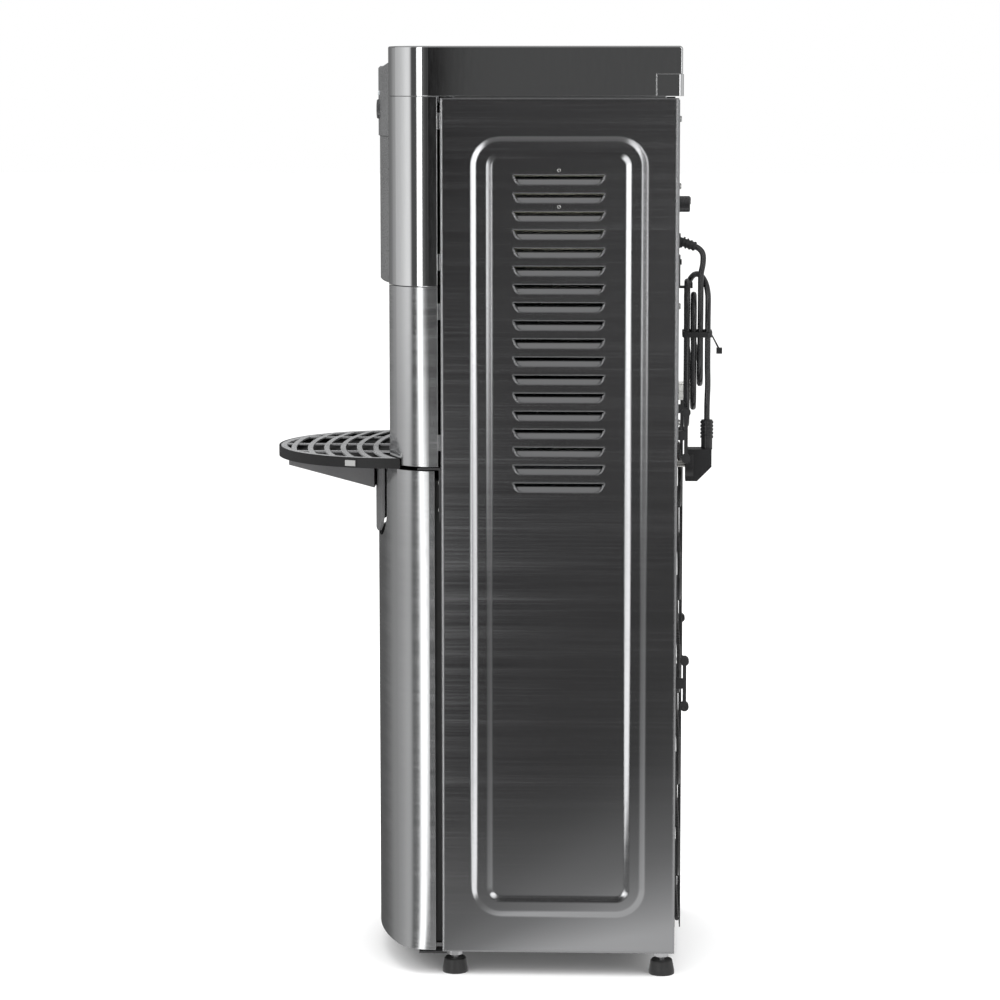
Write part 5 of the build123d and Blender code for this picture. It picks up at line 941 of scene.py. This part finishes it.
class COOLER_OT_stage(Operator):
    """Lay the floor and light the object"""

    bl_idname = "cooler.stage"
    bl_label = "Floor and light"

    def execute(self, context):
        self.floor(context)
        self.world(context)
        for lamp in LAMPS:
            self.lamp(*lamp)
        context.scene.view_settings.view_transform = "Standard"
        return {"FINISHED"}

    def floor(self, context):
        """A pale floor that takes the shadow; metal sees the studio carried on over it."""
        deselect()
        bpy.ops.mesh.primitive_plane_add(size=FLOOR_SIDE, location=(0, 0, 0))
        floor = context.object
        floor.name = "floor"
        material, b = bench("floor_pale")
        where = b.node("ShaderNodeTexCoord", take=3)
        x, y = (b.node("ShaderNodeSeparateXYZ", None, {0: where}, take=k) for k in range(2))
        across, along = x - CORNER_X, y - CORNER_Y
        reach = (across * across + along * along).power(0.5)
        far = b.stretch(reach, *FLOOR_FAR, 0.0, 1.0)
        bands = self.bands(b, across, along, FLOOR_WIDE, FLOOR_FINE)
        level = bands * (1.0 - far) + self.bands(b, across, along, STUDIO_WIDE, STUDIO_FINE) * far
        slanted = y * -1.0 - x * GLOW_SLANT
        near_side = b.stretch(x, *GLOW_X, 1.0, 0.0) * b.stretch(slanted, *GLOW_Y, 1.0, 0.0)
        level = level + near_side.power(GLOW_FALL) * GLOW
        plain = b.node("ShaderNodeBsdfDiffuse", None, {"Color": FLOOR_TONE})
        lift = b.node("ShaderNodeEmission", None, {"Strength": b.node("ShaderNodeLightPath", take=0) * LIFT})
        seen = b.node("ShaderNodeEmission", None, {"Strength": level})
        plain = b.node("ShaderNodeAddShader", None, {0: plain, 1: lift})
        glossy = b.node("ShaderNodeLightPath", take=3)
        b.node_out(b.node("ShaderNodeMixShader", None, {0: glossy, 1: plain, 2: seen}))
        floor.data.materials.append(material)

    def bands(self, b, across, along, wide, fine):
        """Light and dark screens round the cooler, by the angle from +X towards the front."""
        degrees = (along * -1.0).heading(across) * (180 / math.pi)
        whole = self.ramp(b, b.stretch(degrees, -180.0, 180.0, 0.0, 1.0), wide, -180.0, 180.0)
        close = self.ramp(b, b.stretch(degrees, FINE_FROM, FINE_TO, 0.0, 1.0), fine, FINE_FROM, FINE_TO)
        inside = degrees.above(FINE_FROM) * (1.0 - degrees.above(FINE_TO))
        return (whole * (1.0 - inside) + close * inside) * BAND_TOP

    def ramp(self, b, place, bands, low, high):
        """The bands' levels over one range of angles, as shares of BAND_TOP."""
        stops = [((degrees - low) / (high - low), level / BAND_TOP) for degrees, level in bands]
        tone = b.node("ShaderNodeValToRGB", {"stops": stops}, {0: place})
        return b.node("ShaderNodeSeparateColor", None, {0: tone}, take=0)

    def world(self, context):
        """White to the camera; metal sees a studio with a bright strip between dark screens."""
        world = bpy.data.worlds.new("studio")
        world.use_nodes = True
        context.scene.world = world
        b = Bench(world.node_tree)
        where = b.node("ShaderNodeTexCoord", take=0)
        x, y, z = (b.node("ShaderNodeSeparateXYZ", None, {0: where}, take=k) for k in range(3))
        upper = b.stretch(z, UPPER_FROM, UPPER_TO, 0.0, 1.0)
        screens = self.bands(b, x, y, STUDIO_WIDE, STUDIO_FINE)
        studio_light = screens * (1.0 - upper) + upper * OVERHEAD
        diffuse, glossy = (b.node("ShaderNodeLightPath", take=k) for k in (2, 3))
        sky = b.stretch(z, 0.0, SKY_TOP, SKY_LOW, SKY_HIGH)
        strength = studio_light * glossy + sky * diffuse + (1.0 - glossy - diffuse)
        shader = b.node("ShaderNodeBackground", None, {"Color": (1, 1, 1, 1), "Strength": strength})
        out = b.tree.nodes.new("ShaderNodeOutputWorld")
        b.tree.links.new(shader.socket, out.inputs[0])

    def lamp(self, name, place, size, power):
        """A soft round lamp that metal does not mirror."""
        deselect()
        bpy.ops.object.light_add(type="AREA", location=place)
        lamp = bpy.context.object
        lamp.name = name
        lamp.data.shape = "DISK"
        lamp.data.size = size
        lamp.data.energy = power
        aim = Vector(LAMP_AIM) - Vector(place)
        lamp.rotation_euler = aim.to_track_quat("-Z", "Y").to_euler()
        lamp.visible_glossy = False


class COOLER_PT_sidebar(Panel):
    """The cooler's operators and settings"""

    bl_label = "Water cooler"
    bl_idname = "COOLER_PT_sidebar"
    bl_space_type = "VIEW_3D"
    bl_region_type = "UI"
    bl_category = "Cooler"

    def draw(self, context):
        for operator in OPERATORS:
            self.layout.operator(operator.bl_idname)
        for group in (finishes(), sizes(), studio()):
            box = self.layout.box()
            for name in group.__annotations__:
                box.prop(group, name)


GROUPS = (CoolerFinishes, CoolerSizes, CoolerStudio)
OPERATORS = (
    COOLER_OT_camera,
    COOLER_OT_cord,
    COOLER_OT_sheets,
    COOLER_OT_fascias,
    COOLER_OT_mouldings,
    COOLER_OT_machinery,
    COOLER_OT_painted_glint,
    COOLER_OT_fasteners,
    COOLER_OT_filter,
    COOLER_OT_stage,
)


def register():
    """Add the classes and the scene's settings."""
    for kind in GROUPS + OPERATORS + (COOLER_PT_sidebar,):
        bpy.utils.register_class(kind)
    bpy.types.Scene.cooler_finishes = PointerProperty(type=CoolerFinishes)
    bpy.types.Scene.cooler_sizes = PointerProperty(type=CoolerSizes)
    bpy.types.Scene.cooler_studio = PointerProperty(type=CoolerStudio)


def unregister():
    """Take them away again."""
    del bpy.types.Scene.cooler_finishes
    del bpy.types.Scene.cooler_sizes
    del bpy.types.Scene.cooler_studio
    for kind in reversed(GROUPS + OPERATORS + (COOLER_PT_sidebar,)):
        bpy.utils.unregister_class(kind)


def main():
    """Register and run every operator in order."""
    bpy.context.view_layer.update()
    register()
    for operator in OPERATORS:
        group, call = operator.bl_idname.split(".")
        getattr(getattr(bpy.ops, group), call)()


if __name__ == "__main__":
    main()
